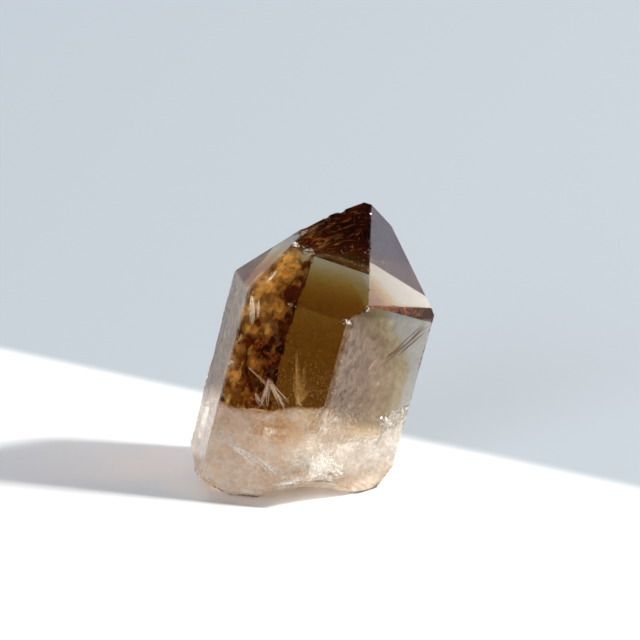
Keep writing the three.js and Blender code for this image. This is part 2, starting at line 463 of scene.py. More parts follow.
class QuartzSettings(bpy.types.PropertyGroup):
    """The crystal's finish and colours"""

    bending: FloatProperty(
        name="Index of refraction", description="How strongly quartz bends light", default=1.545, min=1.0
    )
    clear_takes: taking(
        "Clear quartz takes",
        "Absorption of the whole crystal in red, green and blue, per metre",
        (6.0, 9.0, 14.0),
    )
    smoke_takes: taking(
        "Smoke takes",
        "Absorption that the smoke above the foot adds in red, green and blue, per metre",
        (27.0, 28.0, 32.0),
    )
    core_takes: taking(
        "Smoky core takes",
        "Absorption that the smoky core adds in red, green and blue, per metre; its rim has half of it",
        (20.0, 53.0, 144.0),
    )
    cap_takes: taking(
        "Smoky cap takes",
        "Absorption that the dark cap of smoke in the tip adds in red, green and blue, per metre",
        (110.0, 170.0, 260.0),
    )
    cell: length("Break facet", "Side of the facets on broken and rough faces", 0.33)
    back_slope_turn: FloatProperty(
        name="Back slope turn",
        description="How much steeper the back slope is than an ideal one, turned about the summit",
        default=math.radians(2.3),
        subtype="ANGLE",
    )
    veil_glow: FloatProperty(
        name="Veil glow",
        description="Share of the light that a veil passes on to its far side",
        default=0.5,
        min=0.0,
        max=1.0,
    )
    milk_pale: tint("Milk, pale", "Colour of the palest milky veils", (0.93, 0.90, 0.86))
    milk_dim: tint("Milk, dim", "Colour of the brownish milky veils", (0.90, 0.69, 0.47))
    # The haze's two tints are painted light: warm for the sunlit faces, cool for the left face in shade.
    haze_tint_of_sunlight: tint("Haze, warm", "Colour of the thin haze in the sunlit faces", (0.80, 0.70, 0.58))
    haze_tint_of_shade: tint("Haze, cool", "Colour of the thin haze in the left face", (0.72, 0.78, 0.84))
    streak_tint: tint("Streak", "Colour of the red-brown streaks in the tip", (0.45, 0.10, 0.02))
    # Painted light: the amber and its pale colour the amber veils, which stand in for sunlight and glints
    # reflected inside the smoke; the amber is also the pale end of the streaks.
    amber_tint: tint("Amber", "Colour of the amber clouds behind the front face", (1.0, 0.50, 0.10))
    amber_pale: tint("Amber, pale", "Colour of the palest of the amber clouds", (1.0, 0.78, 0.40))
    # Painted shade: a darker copy of the milk colours for the veils under the sunlit front right face, so
    # that the sun on it doesn't make them too bright.
    shaded_milk_pale: tint("Sunlit milk, pale", "Colour of the front right face's milk", (0.80, 0.77, 0.73))
    shaded_milk_dim: tint("Sunlit milk, dim", "Its brownish parts", (0.56, 0.47, 0.37))
    crack_tint: tint("Crack", "Colour of the white feathery cracks", (0.97, 0.96, 0.93))
    plume_tint: tint("Plume", "Colour of the pale plume in the smoke", (0.85, 0.72, 0.42))
    needle_tint: tint("Needle", "Colour of the brown mineral needles", (0.085, 0.030, 0.010))
    silver_tint: tint("Silvery gap", "Colour of the silvery gaps near the foot", (0.95, 0.95, 0.93))


class StageSettings(bpy.types.PropertyGroup):
    """The paper and its shade"""

    paper: tint("Paper", "Colour of the paper in the light", (0.8, 0.8, 0.8))
    shade: tint("Shaded paper", "Colour of the paper where it falls into shade", (0.334, 0.364, 0.392))
    shade_starts: length("Shade starts", "Distance from the middle at which the shade starts", 27.0)
    shade_fades: length("Shade fades in over", "Width of the soft edge of the shade", 9.0)
    shade_looks: FloatProperty(
        name="Shade lies toward",
        description="Direction of the shade, round from +X",
        default=math.radians(55.6),
        subtype="ANGLE",
    )
    floor_side: length("Paper side", "Width of the square of paper", 4000.0)
    paper_ends: length("Paper ends", "How far in front of the crystal the paper ends", 190.0)


# ---- The crystal --------------------------------------------------------------------------------------

GROWN_ROUGH = "back left"  # the one side that grew rough
ROUGHNESS_OF_BREAK = 1.0
ROUGHNESS_OF_GROWTH = 0.4
BREAK_WAVES = (0.11, 1.5, 4)  # height, length and octaves of the unevenness of breaks
GROWTH_WAVES = (0.30, 2.8, 2)  # the same on the side that grew rough
WAVE_FADE, WAVE_STEP = 0.6, 2.2  # how much each octave is lower and finer
NEAR_FACE = 0.3  # a point this near a grown face, and looking much the same way, lies on it
ON_FACE = 0.004  # the same for a facet of the trimmed body
ALONG_GROWTH = 0.9  # a facet this near the side that grew rough belongs to it
PROUD = 0.45  # how far the rough body stands out of the grown faces, which then trim it
OUTERMOST = 0.03  # a face bounds the crystal where nothing stands further out of it than this
BLOCK = 200.0  # side of the block that is trimmed to the crystal's faces

# Two directions are much alike, close or the same where the cosine between them is over these.
LOOKS_ALIKE = math.cos(math.radians(50))
LOOKS_CLOSE = 0.99
LOOKS_THE_SAME = math.cos(math.radians(3))

# Where the edges are bruised: the two faces that meet there, the ends of the stretch, and how many chips
# it has. A slope is a face of the tip.
BRUISES = (
    ("front slope", "front right slope", (11.2, -13.5, 41.0), (11.2, 0.5, 56.0), 44),
    ("front slope", "front right", (7.8, -16.6, 38.6), (11.1, -14.0, 41.5), 14),
    ("front", "front slope", (-12.5, -10.2, 43.0), (7.6, -16.6, 38.4), 12),
    ("front right", "front right slope", (11.6, -13.8, 41.2), (24.0, -1.5, 38.0), 18),
    ("front right", "right", (24.2, -1.2, 35.0), (16.8, -2.8, 5.0), 34),
    ("front", "front right", (7.6, -16.6, 37.5), (0.2, -18.6, 9.0), 10),
    ("left", "front", (-12.9, -10.2, 42.0), (-21.0, -12.2, 11.0), 12),
    ("left slope", "front slope", (-12.5, -9.6, 43.6), (-4.8, -4.0, 49.9), 16),
    ("right", "back", (21.5, 12.2, 34.0), (14.0, 10.8, 6.0), 22),
    ("back", "back left", (2.0, 17.5, 38.0), (-5.5, 15.5, 6.0), 22),
    ("back left", "left", (-15.0, 4.5, 40.0), (-23.0, 2.0, 8.0), 22),
    ("back slope", "back", (3.0, 17.5, 36.5), (20.0, 13.5, 35.0), 12),
    ("right slope", "right", (24.0, 0.0, 38.0), (22.0, 10.5, 35.5), 10),
)
SUMMIT = (11.2, 0.5, 57.0)
CHIP_SIZES = (0.2, 0.62)  # half of a chip's length, smallest and largest
CHIP_FLATNESS = (0.4, 0.7)  # how wide and high a chip is, as shares of its length
CHIP_UNEVEN = (0.8, 1.15)
CHIPS_APART = 0.9
CHIP_TRIES = 4  # for each chip


def grown_planes(mesh):
    """The planes that bound the crystal, as (normal, distance): its large flat faces and the ground."""
    bm = bmesh.new()
    bm.from_mesh(mesh)
    planes, walked = [(Vector((0, 0, -1)), 0.0)], set()
    for start in bm.faces:
        if start in walked:
            continue
        flat, rim = {start}, [start]
        while rim:
            for edge in rim.pop().edges:
                for other in edge.link_faces:
                    if other not in flat and other.normal.angle(start.normal, 1.0) < SAME_FACE_TURN:
                        flat.add(other)
                        rim.append(other)
        walked |= flat
        area = sum(face.calc_area() for face in flat)
        normal = sum((face.normal * face.calc_area() for face in flat), Vector()).normalized()
        distance = sum(face.calc_center_median().dot(normal) * face.calc_area() for face in flat) / area
        known = any(normal.dot(other) > LOOKS_THE_SAME for other, _ in planes)
        if known or area < LEAST_FACE * SQUARE_MM:
            continue
        if max(vert.co.dot(normal) for vert in bm.verts) < distance + mm(OUTERMOST):
            planes.append((normal, distance))
    bm.free()
    return planes


def bounded_block(planes):
    """The closed block that lies inside all those planes."""

    def build(bm):
        bmesh.ops.create_cube(bm, size=mm(BLOCK))
        for normal, distance in planes:
            whole = bm.verts[:] + bm.edges[:] + bm.faces[:]
            bmesh.ops.bisect_plane(
                bm, geom=whole, plane_co=normal * distance, plane_no=normal, clear_outer=True
            )
            bmesh.ops.contextual_create(bm, geom=[e for e in bm.edges if e.is_boundary])
        bmesh.ops.recalc_face_normals(bm, faces=bm.faces)

    return loose("block", mesh_from("block", build))


def rough_body(planes, cell):
    """The crystal in small facets, uneven where it broke or grew rough, and proud where it grew flat."""
    body = loose("rough_body", crystal_mesh("rough_body"))
    modifier = body.modifiers.new("facets", "REMESH")
    modifier.mode = "VOXEL"
    modifier.voxel_size = cell
    bpy.context.view_layer.update()
    seen = body.evaluated_get(bpy.context.evaluated_depsgraph_get())
    mesh = bpy.data.meshes.new_from_object(seen)
    bpy.data.objects.remove(body)
    growth = prism_face(GROWN_ROUGH)
    moved = []
    for vert in mesh.vertices:
        place, normal = vert.co, vert.normal
        flat = any(
            n.dot(place) > d - mm(NEAR_FACE) and n.dot(normal) > LOOKS_ALIKE for n, d in planes
        )
        rough = GROWTH_WAVES if normal.dot(growth.normal) > LOOKS_ALIKE else BREAK_WAVES
        step = mm(PROUD) if flat else waves(place, *rough)
        moved.append(place + normal * step)
    for vert, place in zip(mesh.vertices, moved):
        vert.co = place
    return loose("rough_body", mesh)


def named_face(words):
    """A grown face by its name: a side, or a side and the word slope."""
    side = words.removesuffix(" slope")
    return prism_face(side) if side == words else slope_face(side)


def on_edge(first, second, place):
    """The point nearest to a place on the edge where two faces meet."""
    along = first.normal.cross(second.normal).normalized()
    rows = Matrix((first.normal, second.normal, along))
    return rows.inverted() @ Vector((first.distance, second.distance, along.dot(place)))


def bruised_points(chance):
    """Random points along each bruised stretch, no two so close that their chips would join."""
    points = []
    for first, second, start, end, count in BRUISES:
        faces = named_face(first), named_face(second)
        ends = [on_edge(*faces, mm(place)) for place in (start, end)]
        for _ in range(count * CHIP_TRIES):
            point = ends[0].lerp(ends[1], chance.random())
            if all((point - other).length > mm(CHIPS_APART) for other in points):
                points.append(point)
                count -= 1
            if count == 0:
                break
    return points


def chip_cutter(points, chance):
    """Small uneven lumps on those points, as one object to cut with."""

    def build(bm):
        for point in points:
            long = mm(chance.uniform(*CHIP_SIZES))
            lump = bmesh.ops.create_icosphere(bm, subdivisions=1, radius=1.0)["verts"]
            turn = Matrix.Rotation(chance.uniform(0, math.pi), 3, noise.random_unit_vector())
            wide, high = (long * chance.uniform(*CHIP_FLATNESS) for _ in range(2))
            shape = Matrix.Diagonal((long, wide, high))
            for vert in lump:
                vert.co = turn @ shape @ (vert.co * chance.uniform(*CHIP_UNEVEN)) + point

    return loose("chips", mesh_from("chips", build))


def waves(place, high, long, octaves):
    """How far an uneven face stands out or back at a place."""
    return mm(high) * (noise.fractal(place / mm(long), WAVE_FADE, WAVE_STEP, octaves) - 0.5)


def steeper(planes, words, turn, hinge):
    """The same planes, with one turned about a level line through the hinge, so that it is steeper."""
    face = named_face(words)
    level = face.normal.cross(Vector((0, 0, 1))).normalized()
    turned = []
    for normal, distance in planes:
        if normal.dot(face.normal) > LOOKS_THE_SAME:
            reach = hinge - normal * (hinge.dot(normal) - distance)
            normal = Matrix.Rotation(-turn, 3, level) @ normal
            distance = reach.dot(normal)
        turned.append((normal, distance))
    return turned


class QUARTZ_OT_crystal(bpy.types.Operator):
    """Build the crystal's surface: flat faces, bruised edges, and rough breaks and back left face"""

    bl_idname = "quartz.crystal"
    bl_label = "Crystal"

    def execute(self, context):
        looks = context.scene.quartz
        chance = seeded("crystal")
        planes = grown_planes(crystal_mesh("welded"))
        planes = steeper(planes, "back slope", looks.back_slope_turn, mm(SUMMIT))
        whole = rough_body(planes, looks.cell)
        cut(whole, bounded_block(planes), "INTERSECT")
        cut(whole, chip_cutter(bruised_points(chance), chance))
        mesh = whole.data
        bpy.data.objects.remove(whole)
        self.mark_breaks(mesh, planes)
        made = piece_of("crystal", mesh, quartz_material(looks))
        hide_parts(NODE)
        return {"FINISHED"}

    def mark_breaks(self, mesh, planes):
        """Says for each face how rough it is: 0 where it grew flat."""
        growth = prism_face(GROWN_ROUGH)
        broken = mesh.attributes.new("broken", "FLOAT", "FACE")
        for polygon in mesh.polygons:
            middle, normal = polygon.center, polygon.normal
            flat = any(
                abs(n.dot(middle) - d) < mm(ON_FACE) and n.dot(normal) > LOOKS_CLOSE for n, d in planes
            )
            beside = middle.dot(growth.normal) > growth.distance - mm(ALONG_GROWTH)
            rough = ROUGHNESS_OF_GROWTH if beside else ROUGHNESS_OF_BREAK
            broken.data[polygon.index].value = 0.0 if flat else rough


# ---- Smoke --------------------------------------------------------------------------------------------

BODY_INSET = 0.985  # smoke is the crystal's own shape, a little smaller about its middle
CORE_INSETS = (0.97, 0.95)  # no two zones may share a face, or light loses count of them
CORE_ABOVE_FOOT = 0.3
CORE_RIM = 2.4  # between the rim of the core and its inner part, which makes its edge soft

# The smoke ends below on a crack that meets the front face here, and dips away from it.
FOOT_LINE = (-7.0, 16.6)  # millimetres across and along the front face
FOOT_DIP = math.radians(22)

# The dark core ends to its sides on planes that lie this far under faces of the crystal.
CORE_UNDER = (("right slope", 10.3), ("right", 3.0), ("left", 2.4))

# Above, it ends on a lid that looks up and to the back, this far from the origin.
LID_LOOKS = Vector((0.3, 0.65, 0.7)).normalized()
LID_DISTANCE = 31.7
CAP_DISTANCE = 38.3  # beyond this the tip is the darkest of all
CAP_INSET = 0.975
HALF_SPACE = 160.0  # side of the blocks that the smoke is cut with


def inner_shape(name, inset):
    """The crystal's shape shrunk a little about its middle."""
    low, high = (Vector(corner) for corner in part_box(NODE))
    middle = (low + high) / 2
    mesh = crystal_mesh(name)
    mesh.transform(Matrix.Translation(middle) @ Matrix.Scale(inset, 4) @ Matrix.Translation(-middle))
    return loose(name, mesh)


def half_space(name, point, outward):
    """A block that fills everything beyond a plane."""

    def build(bm):
        bmesh.ops.create_cube(bm, size=mm(HALF_SPACE))
        turn = Vector((0, 0, 1)).rotation_difference(outward).to_matrix().to_4x4()
        place = Matrix.Translation(point + outward.normalized() * mm(HALF_SPACE / 2)) @ turn
        bmesh.ops.transform(bm, matrix=place, verts=bm.verts)

    return loose(name, mesh_from(name, build))


def foot_face():
    """The crack under the smoke, looking down. Across it is across the front face."""
    front = prism_face("front")
    down = Matrix.Rotation(-FOOT_DIP, 3, front.across) @ Vector((0, 0, -1))
    return Face(down, front.at(*FOOT_LINE).dot(down), front.normal)


class QUARTZ_OT_smoke(bpy.types.Operator):
    """Fill the crystal above its foot with brown smoke, darker in its core"""

    bl_idname = "quartz.smoke"
    bl_label = "Smoke"

    def execute(self, context):
        looks = context.scene.quartz
        foot = foot_face()
        body = inner_shape("smoke_body", BODY_INSET)
        cut(body, half_space("below", foot.at(0, 0), foot.normal))
        self.finish(body, "smoke_body", looks.smoke_takes)
        for number, inset in enumerate(CORE_INSETS):
            core = inner_shape(f"smoke_core_{number + 1}", inset)
            under = CORE_ABOVE_FOOT * (number + 1)
            cut(core, half_space("below", foot.at(0, 0, under), foot.normal))
            step = CORE_RIM * number
            cut(core, half_space("lid", LID_LOOKS * mm(LID_DISTANCE - step), LID_LOOKS))
            for words, under in CORE_UNDER:
                face = named_face(words)
                cut(core, half_space(words, face.at(0, 0, under + step), face.normal))
            self.finish(core, core.name, [part / len(CORE_INSETS) for part in looks.core_takes])
        cap = inner_shape("smoke_cap", CAP_INSET)
        cut(cap, half_space("under the cap", LID_LOOKS * mm(CAP_DISTANCE), -LID_LOOKS))
        self.finish(cap, "smoke_cap", looks.cap_takes)
        return {"FINISHED"}

    def finish(self, shape, name, takes):
        mesh = shape.data
        bpy.data.objects.remove(shape)
        piece_of(name, mesh, smoke_material(name, takes))


# ---- Inside the crystal -------------------------------------------------------------------------------

VEIL_CELL = 0.35  # millimetres between the points of a veil
VEIL_WAVE = 3.2  # length of its crumples
VEIL_CRUMPLES = (1.0, 2.0, 3)  # how much each octave of them is lower and finer, and how many there are
CLEAR_OF_SURFACE = 0.22
LEAST_MILK = 0.015
OTHER_FACE = (2.0, 7.0)  # a deep veil is gone this near its other face, and whole this far from it
CLOUD_FADES = (1.0, 0.25)  # shares of a cloud's half size: where it starts, and where it is whole
MOTTLE_CONTRAST = 0.6
MOTTLE_OCTAVES = (0.9, 2.1, 4)


class Inside:
    """Tells whether a place lies inside the crystal, clear of its surface."""

    def __init__(self):
        bm = bmesh.new()
        bm.from_mesh(crystal_mesh("welded"))
        self.tree = BVHTree.FromBMesh(bm)
        bm.free()

    def __call__(self, place, clear=CLEAR_OF_SURFACE):
        _, _, _, gap = self.tree.find_nearest(place)
        if gap <= mm(clear):
            return False
        hit, facing, _, _ = self.tree.ray_cast(place, Vector((0, 0, 1)))
        return hit is not None and facing.z > 0


def soft(value, start, end):
    """0 before start, 1 after end, and smooth between. End may be before start."""
    share = min(1.0, max(0.0, (value - start) / (end - start)))
    return share * share * (3 - 2 * share)


def cloud(across, along, middle, half, turn=0.0):
    """1 in the middle of a soft oval and 0 from its rim on. turn is in degrees."""
    x, y = across - middle[0], along - middle[1]
    c, s = math.cos(math.radians(turn)), math.sin(math.radians(turn))
    reach = math.hypot((x * c + y * s) / half[0], (y * c - x * s) / half[1])
    return soft(reach, *CLOUD_FADES)


def line_through(points, across):
    """Height of a bent line of (across, along) points."""
    if across <= points[0][0]:
        return points[0][1]
    for (x0, y0), (x1, y1) in zip(points, points[1:]):
        if across <= x1:
            return y0 + (y1 - y0) * (across - x0) / (x1 - x0)
    return points[-1][1]


def mottle(across, along, size, seed):
    """Uneven clouds from about 0 to 1. The seed tells one pattern from another."""
    place = Vector((across / size, along / size, seed))
    return 0.5 + MOTTLE_CONTRAST * noise.fractal(place, *MOTTLE_OCTAVES)


def uneven(across, along, much, size, seed):
    """The same about 0, so much up and down."""
    return much * (mottle(across, along, size, seed) - 0.5)


def share_layers(bm):
    """Room in a mesh for how milky and how pale each point is."""
    return bm.verts.layers.float.new("milk"), bm.verts.layers.float.new("pale")


def veil(name, face, reach, depth, crumple, shares, material, inside, other=None):
    """A crumpled sheet under a face. shares(across, along) gives how milky and how pale it is there.

    The sheet thins out where it comes near the other face.
    """
    left, right, low, high = reach
    columns = round((right - left) / VEIL_CELL)
    rows = round((high - low) / VEIL_CELL)

    def build(bm):
        milk, pale = share_layers(bm)
        points = {}
        for column in range(columns + 1):
            for row in range(rows + 1):
                across, along = left + column * VEIL_CELL, low + row * VEIL_CELL
                milky, light = shares(across, along)
                if milky < LEAST_MILK:
                    continue
                flat = face.at(across, along, depth)
                if other:
                    milky *= soft(other.under(flat), *OTHER_FACE)
                lift = noise.fractal(flat / mm(VEIL_WAVE), *VEIL_CRUMPLES)
                place = flat + face.normal * mm(crumple) * lift
                if inside(place):
                    point = bm.verts.new(place)
                    point[milk], point[pale] = min(1.0, milky), min(1.0, max(0.0, light))
                    points[column, row] = point
        for column, row in list(points):
            corners = [points.get((column + x, row + y)) for x, y in ((0, 0), (1, 0), (1, 1), (0, 1))]
            if all(corners):
                bm.faces.new(corners)
        bmesh.ops.delete(bm, geom=[point for point in bm.verts if not point.link_faces], context="VERTS")
        if not bm.faces:
            raise RuntimeError(f"{name}: the veil lies outside the crystal")

    return piece_of(name, mesh_from(name, build), material, smooth=True)


# The upper edge of the milky foot, as (across, along) on the front and the front right face.
FRONT_RIM = (
    (-21.0, 13.4), (-18.5, 14.1), (-14.5, 13.6), (-11.5, 14.7), (-8.0, 15.2), (-5.1, 17.2),
    (-1.0, 18.4), (4.0, 20.4), (9.0, 21.2),
)
RIGHT_RIM = (
    (-16.0, 19.0), (-14.4, 19.6), (-10.4, 19.4), (-9.0, 17.4), (-6.0, 15.6), (0.0, 14.2),
    (2.6, 13.3), (3.4, 16.6), (6.9, 17.6), (9.5, 20.4), (14.0, 22.0),
)
FRONT_RIM_FADES, RIGHT_RIM_FADES = 0.5, 2.2  # over so many millimetres below the edge

# Patches of those veils: the middle and half the size on the face, and the turn in degrees.
FRONT_WHITE = ((1.5, 16.5), (9.0, 5.5), 15)
FRONT_WHITE_LOW = ((3.0, 8.0), (3.5, 2.6))
FRONT_DIM = ((-3.0, 12.0), (8.5, 3.6), 12)
RIGHT_WHITE = ((7.5, 12.0), (7.0, 8.0))
RIGHT_MILKY_CORNER = ((-12.0, 8.0), (5.0, 3.0))
RIGHT_CLEARER = ((-6.0, 12.0), (6.0, 3.5))

# Where they change, in millimetres across or along the face: from here on, and wholly from there.
FRONT_LEFT_PART = (-6.0, -13.0)
FRONT_LEFT_END = (-12.0, -19.0)
RIGHT_BOTTOM = (4.0, 0.5)
RIGHT_LOW_CLEAR = ((7.0, 3.0), (-7.0, -3.0))  # along, and across
RIGHT_LOW_DIM = ((8.5, 4.5), (-8.5, -5.5))
RIGHT_PALE_PART = (-1.0, 6.0)
LEFT_TOP = (12.0, 4.0)
UNDER_SMOKE_ENDS = (7.0, 13.0)  # so deep under the front right face

# Unevenness: how much of it, the size of its clumps, and the seed of its pattern.
FRONT_RIM_WAVES, FRONT_LIGHT_WAVES = (1.0, 1.1, 3.0), (0.5, 1.6, 7.0)
RIGHT_RIM_WAVES, RIGHT_LIGHT_WAVES = (1.6, 1.3, 5.0), (0.4, 1.6, 9.0)
LEFT_MILK_WAVES, LEFT_LIGHT_WAVES = (0.5, 2.5, 4.0), (0.5, 1.6, 6.0)
UNDER_SMOKE_WAVES, WISP_WAVES = (3.0, 2.5, 18.0), (1.2, 3.0)

# The size of clumps and the seed of their pattern.
FRONT_CLUMPS, RIGHT_CLUMPS, UNDER_SMOKE_CLUMPS = (3.4, 1.0), (3.0, 2.0), (2.5, 12.0)
FRONT_WISPS, RIGHT_WISPS = (1.5, 21.0), (1.5, 23.0)
CLUMPS_SHOW = (0.3, 0.75)  # a clump starts at the first value of its pattern, and is whole from the second

WISP_STRETCH = 0.45  # wisps are longer across than along, and lean
WISP_LEAN = (0.2, 0.25)
WISP_WIDTH = 0.12
WISP_MILK = 0.35


def wisps(across, along, size, seed):
    """Thin bright streaks between 0 and 1, all running much the same way."""
    drawn = uneven(across, along, *WISP_WAVES, seed)
    along_wisp = across * WISP_STRETCH + along * WISP_LEAN[0] + drawn
    ridge = abs(mottle(along_wisp, along - across * WISP_LEAN[1], size, seed) - 0.5)
    return soft(ridge, WISP_WIDTH, 0.0)


def corner(across, along, part):
    """1 in the corner of a face where both changes of that part are complete."""
    return soft(along, *part[0]) * soft(across, *part[1])


def front_foot(across, along):
    """How milky and pale the veil under the front face is. The numbers say how much each thing adds."""
    rim = line_through(FRONT_RIM, across) + uneven(across, along, *FRONT_RIM_WAVES)
    clumps = soft(mottle(across, along, *FRONT_CLUMPS), *CLUMPS_SHOW)
    fine = wisps(across, along, *FRONT_WISPS)
    white = cloud(across, along, *FRONT_WHITE) + cloud(across, along, *FRONT_WHITE_LOW)
    left_part = soft(across, *FRONT_LEFT_PART)
    milky = 0.30 + 0.30 * clumps + 0.30 * left_part
    milky += 0.30 * white * clumps + 0.30 * soft(across, *FRONT_LEFT_END)
    light = 0.40 + 0.25 * white + 0.5 * fine + 0.05 * left_part + uneven(across, along, *FRONT_LIGHT_WAVES)
    light -= 0.8 * cloud(across, along, *FRONT_DIM)
    return (milky + WISP_MILK * fine) * soft(along, rim, rim - FRONT_RIM_FADES), light


def right_foot(across, along):
    """The same for the veil under the front right face."""
    rim = line_through(RIGHT_RIM, across) + uneven(across, along, *RIGHT_RIM_WAVES)
    clumps = soft(mottle(across, along, *RIGHT_CLUMPS), *CLUMPS_SHOW)
    fine = wisps(across, along, *RIGHT_WISPS)
    milky = 0.30 + 0.35 * clumps - 0.15 * soft(along, *RIGHT_BOTTOM)
    milky += 0.45 * cloud(across, along, *RIGHT_WHITE) * clumps
    milky += 0.35 * cloud(across, along, *RIGHT_MILKY_CORNER)
    milky -= 0.20 * cloud(across, along, *RIGHT_CLEARER)
    milky -= 0.40 * corner(across, along, RIGHT_LOW_CLEAR)
    light = 0.35 + 0.35 * soft(across, *RIGHT_PALE_PART) - 0.6 * corner(across, along, RIGHT_LOW_DIM)
    light += 0.4 * fine
    light += uneven(across, along, *RIGHT_LIGHT_WAVES)
    return (milky + WISP_MILK * fine) * soft(along, rim, rim - RIGHT_RIM_FADES), light


def left_foot(across, along):
    """How milky and pale the veil under the left face is."""
    milky = 0.5 + uneven(across, along, *LEFT_MILK_WAVES)
    return milky * soft(along, *LEFT_TOP), 0.35 + uneven(across, along, *LEFT_LIGHT_WAVES)


def under_smoke(floor, right):
    """How milky and pale the veil is on which the smoke ends: it thins out toward the front right face."""

    def shares(across, along):
        behind = right.under(floor.at(across, along)) + uneven(across, along, *UNDER_SMOKE_WAVES)
        return 0.9 * soft(behind, *UNDER_SMOKE_ENDS), 0.3 + 0.4 * mottle(across, along, *UNDER_SMOKE_CLUMPS)

    return shares


# The foot's milky layer is partly its real milk and partly painted light: lowered close over the floor, it
# brightens the floor seen under the crystal in place of the light that the crystal bends onto it.
FOOT_SKIN_INSET = 0.97
FOOT_SKIN_LOWERED = 0.6  # so that it also lies close over the floor
FOOT_SKIN_TOP = 5.0  # millimetres over the floor
FOOT_SKIN_WHOLE = 1.0  # the same, where it starts to thin out upwards
FOOT_SKIN_MILK = 0.75
FOOT_SKIN_CLUMPS = (2.0, 31.0)  # size and seed
FOOT_SKIN_LID = 2.0  # a level face of it higher than this is where it was cut, and isn't wanted


def foot_milk_and_painted_light(material):
    """A milky layer close under the whole broken foot; its part over the floor is also painted light."""
    shape = inner_shape("foot_milk_and_painted_light", FOOT_SKIN_INSET)
    shape.data.transform(Matrix.Translation((0, 0, -mm(FOOT_SKIN_LOWERED))))
    cut(shape, half_space("above", Vector((0, 0, mm(FOOT_SKIN_TOP))), Vector((0, 0, 1))))
    old = shape.data
    bpy.data.objects.remove(shape)

    def build(bm):
        bm.from_mesh(old)
        milk, pale = share_layers(bm)
        level = [face for face in bm.faces if face.normal.z > LOOKS_THE_SAME]
        lids = [face for face in level if face.calc_center_median().z > mm(FOOT_SKIN_LID)]
        bmesh.ops.delete(bm, geom=lids, context="FACES")
        bmesh.ops.triangulate(bm, faces=bm.faces)
        bmesh.ops.subdivide_edges(bm, edges=bm.edges, cuts=2, use_grid_fill=True)
        for vert in bm.verts:
            high = vert.co.z / mm(1)
            clumps = mottle(vert.co.x / mm(1) + vert.co.y / mm(1), high, *FOOT_SKIN_CLUMPS)
            vert[milk] = FOOT_SKIN_MILK * soft(high, FOOT_SKIN_TOP, FOOT_SKIN_WHOLE) * (0.5 + clumps)
            vert[pale] = clumps

    piece_of("foot_milk_and_painted_light", mesh_from("foot_milk_and_painted_light", build), material)


# The veils' depths under their faces and the heights of their crumples, one after the other inwards.
FRONT_VEILS = ((0.8, 0.4), (2.6, 1.2), (5.4, 1.8))
RIGHT_VEILS = ((0.8, 0.4), (2.8, 1.3))
LEFT_VEIL = (0.9, 0.4)
UNDER_SMOKE = (-0.6, 0.5)  # just below the crack at which the smoke ends
MILK_GRAIN = 4.0

# The stretch that a veil may fill: left, right, low and high on its face.
FOOT_REACH = (-24.0, 16.0, -4.0, 24.0)
LEFT_REACH = (-14.0, 14.0, -4.0, 14.0)
UNDER_SMOKE_REACH = (-40.0, 40.0, -40.0, 40.0)


class QUARTZ_OT_veils(bpy.types.Operator):
    """Fill the foot with milky veils, sharp-edged where the smoke ends"""

    bl_idname = "quartz.veils"
    bl_label = "Milky veils"

    def execute(self, context):
        looks = context.scene.quartz
        inside = Inside()
        milk = veil_material("milk", looks, looks.milk_pale, looks.milk_dim, MILK_GRAIN)
        # The front right face's veils take the darker copy of the milk: painted shade against the sun on
        # that face.
        sunlit = veil_material("milk_with_painted_shade", looks, looks.shaded_milk_pale, looks.shaded_milk_dim, MILK_GRAIN)
        front, right, left = prism_face("front"), prism_face("front right"), prism_face("left")
        for words, face, other, layers, shares, material in (
            ("front", front, right, FRONT_VEILS, front_foot, milk),
            ("right", right, front, RIGHT_VEILS, right_foot, sunlit),
        ):
            for number, (depth, crumple) in enumerate(layers, 1):
                name, near = f"{words}_foot_veil_{number}", other if number > 1 else None
                veil(name, face, FOOT_REACH, depth, crumple, shares, material, inside, near)
        foot_milk_and_painted_light(milk)
        floor = foot_face()
        shares = under_smoke(floor, right)
        veil("veil_under_smoke", floor, UNDER_SMOKE_REACH, *UNDER_SMOKE, shares, milk, inside)
        veil("left_foot_veil", left, LEFT_REACH, *LEFT_VEIL, left_foot, milk, inside)
        return {"FINISHED"}


# Thin haze under the flat faces: the face, its depth, how milky it is, how warm from 0 to 1, and how far up
# the face it reaches. The warmth is painted light: warm under the sunlit faces, and cool as painted shade
# under the left face.
HAZES = (
    ("front right", 1.0, 0.19, 1.0, 39.5),
    ("front right slope", 0.5, 0.02, 0.5, 60.0),
    ("left", 0.5, 0.26, 0.0, 60.0),
    ("left slope", 0.5, 0.14, 0.3, 60.0),
)
HAZE_REACH = (-26.0, 26.0, -4.0, 60.0)
HAZE_FADES = 1.5  # over so many millimetres below its top
HAZE_CRUMPLE = 0.05
HAZE_GRAIN = 1.4
HAZE_CLUMPS, HAZE_FINE_CLUMPS = 4.0, 1.3  # sizes


class QUARTZ_OT_haze(bpy.types.Operator):
    """Lay a thin, faintly speckled haze under the faces that look pale, tinted with painted sunlight or
    painted shade
    """

    bl_idname = "quartz.haze"
    bl_label = "Haze"

    def execute(self, context):
        looks = context.scene.quartz
        inside = Inside()
        material = veil_material("haze", looks, looks.haze_tint_of_shade, looks.haze_tint_of_sunlight, HAZE_GRAIN)
        for words, depth, strength, warm, top in HAZES:

            def shares(across, along):
                spread = mottle(across, along, HAZE_CLUMPS, depth)
                spread += 0.5 * mottle(across, along, HAZE_FINE_CLUMPS, depth)
                return strength * (0.4 + 0.9 * spread) * soft(along, top, top - HAZE_FADES), 1.0 - warm

            name = words.replace(" ", "_") + "_haze"
            veil(name, named_face(words), HAZE_REACH, depth, HAZE_CRUMPLE, shares, material, inside)
        return {"FINISHED"}


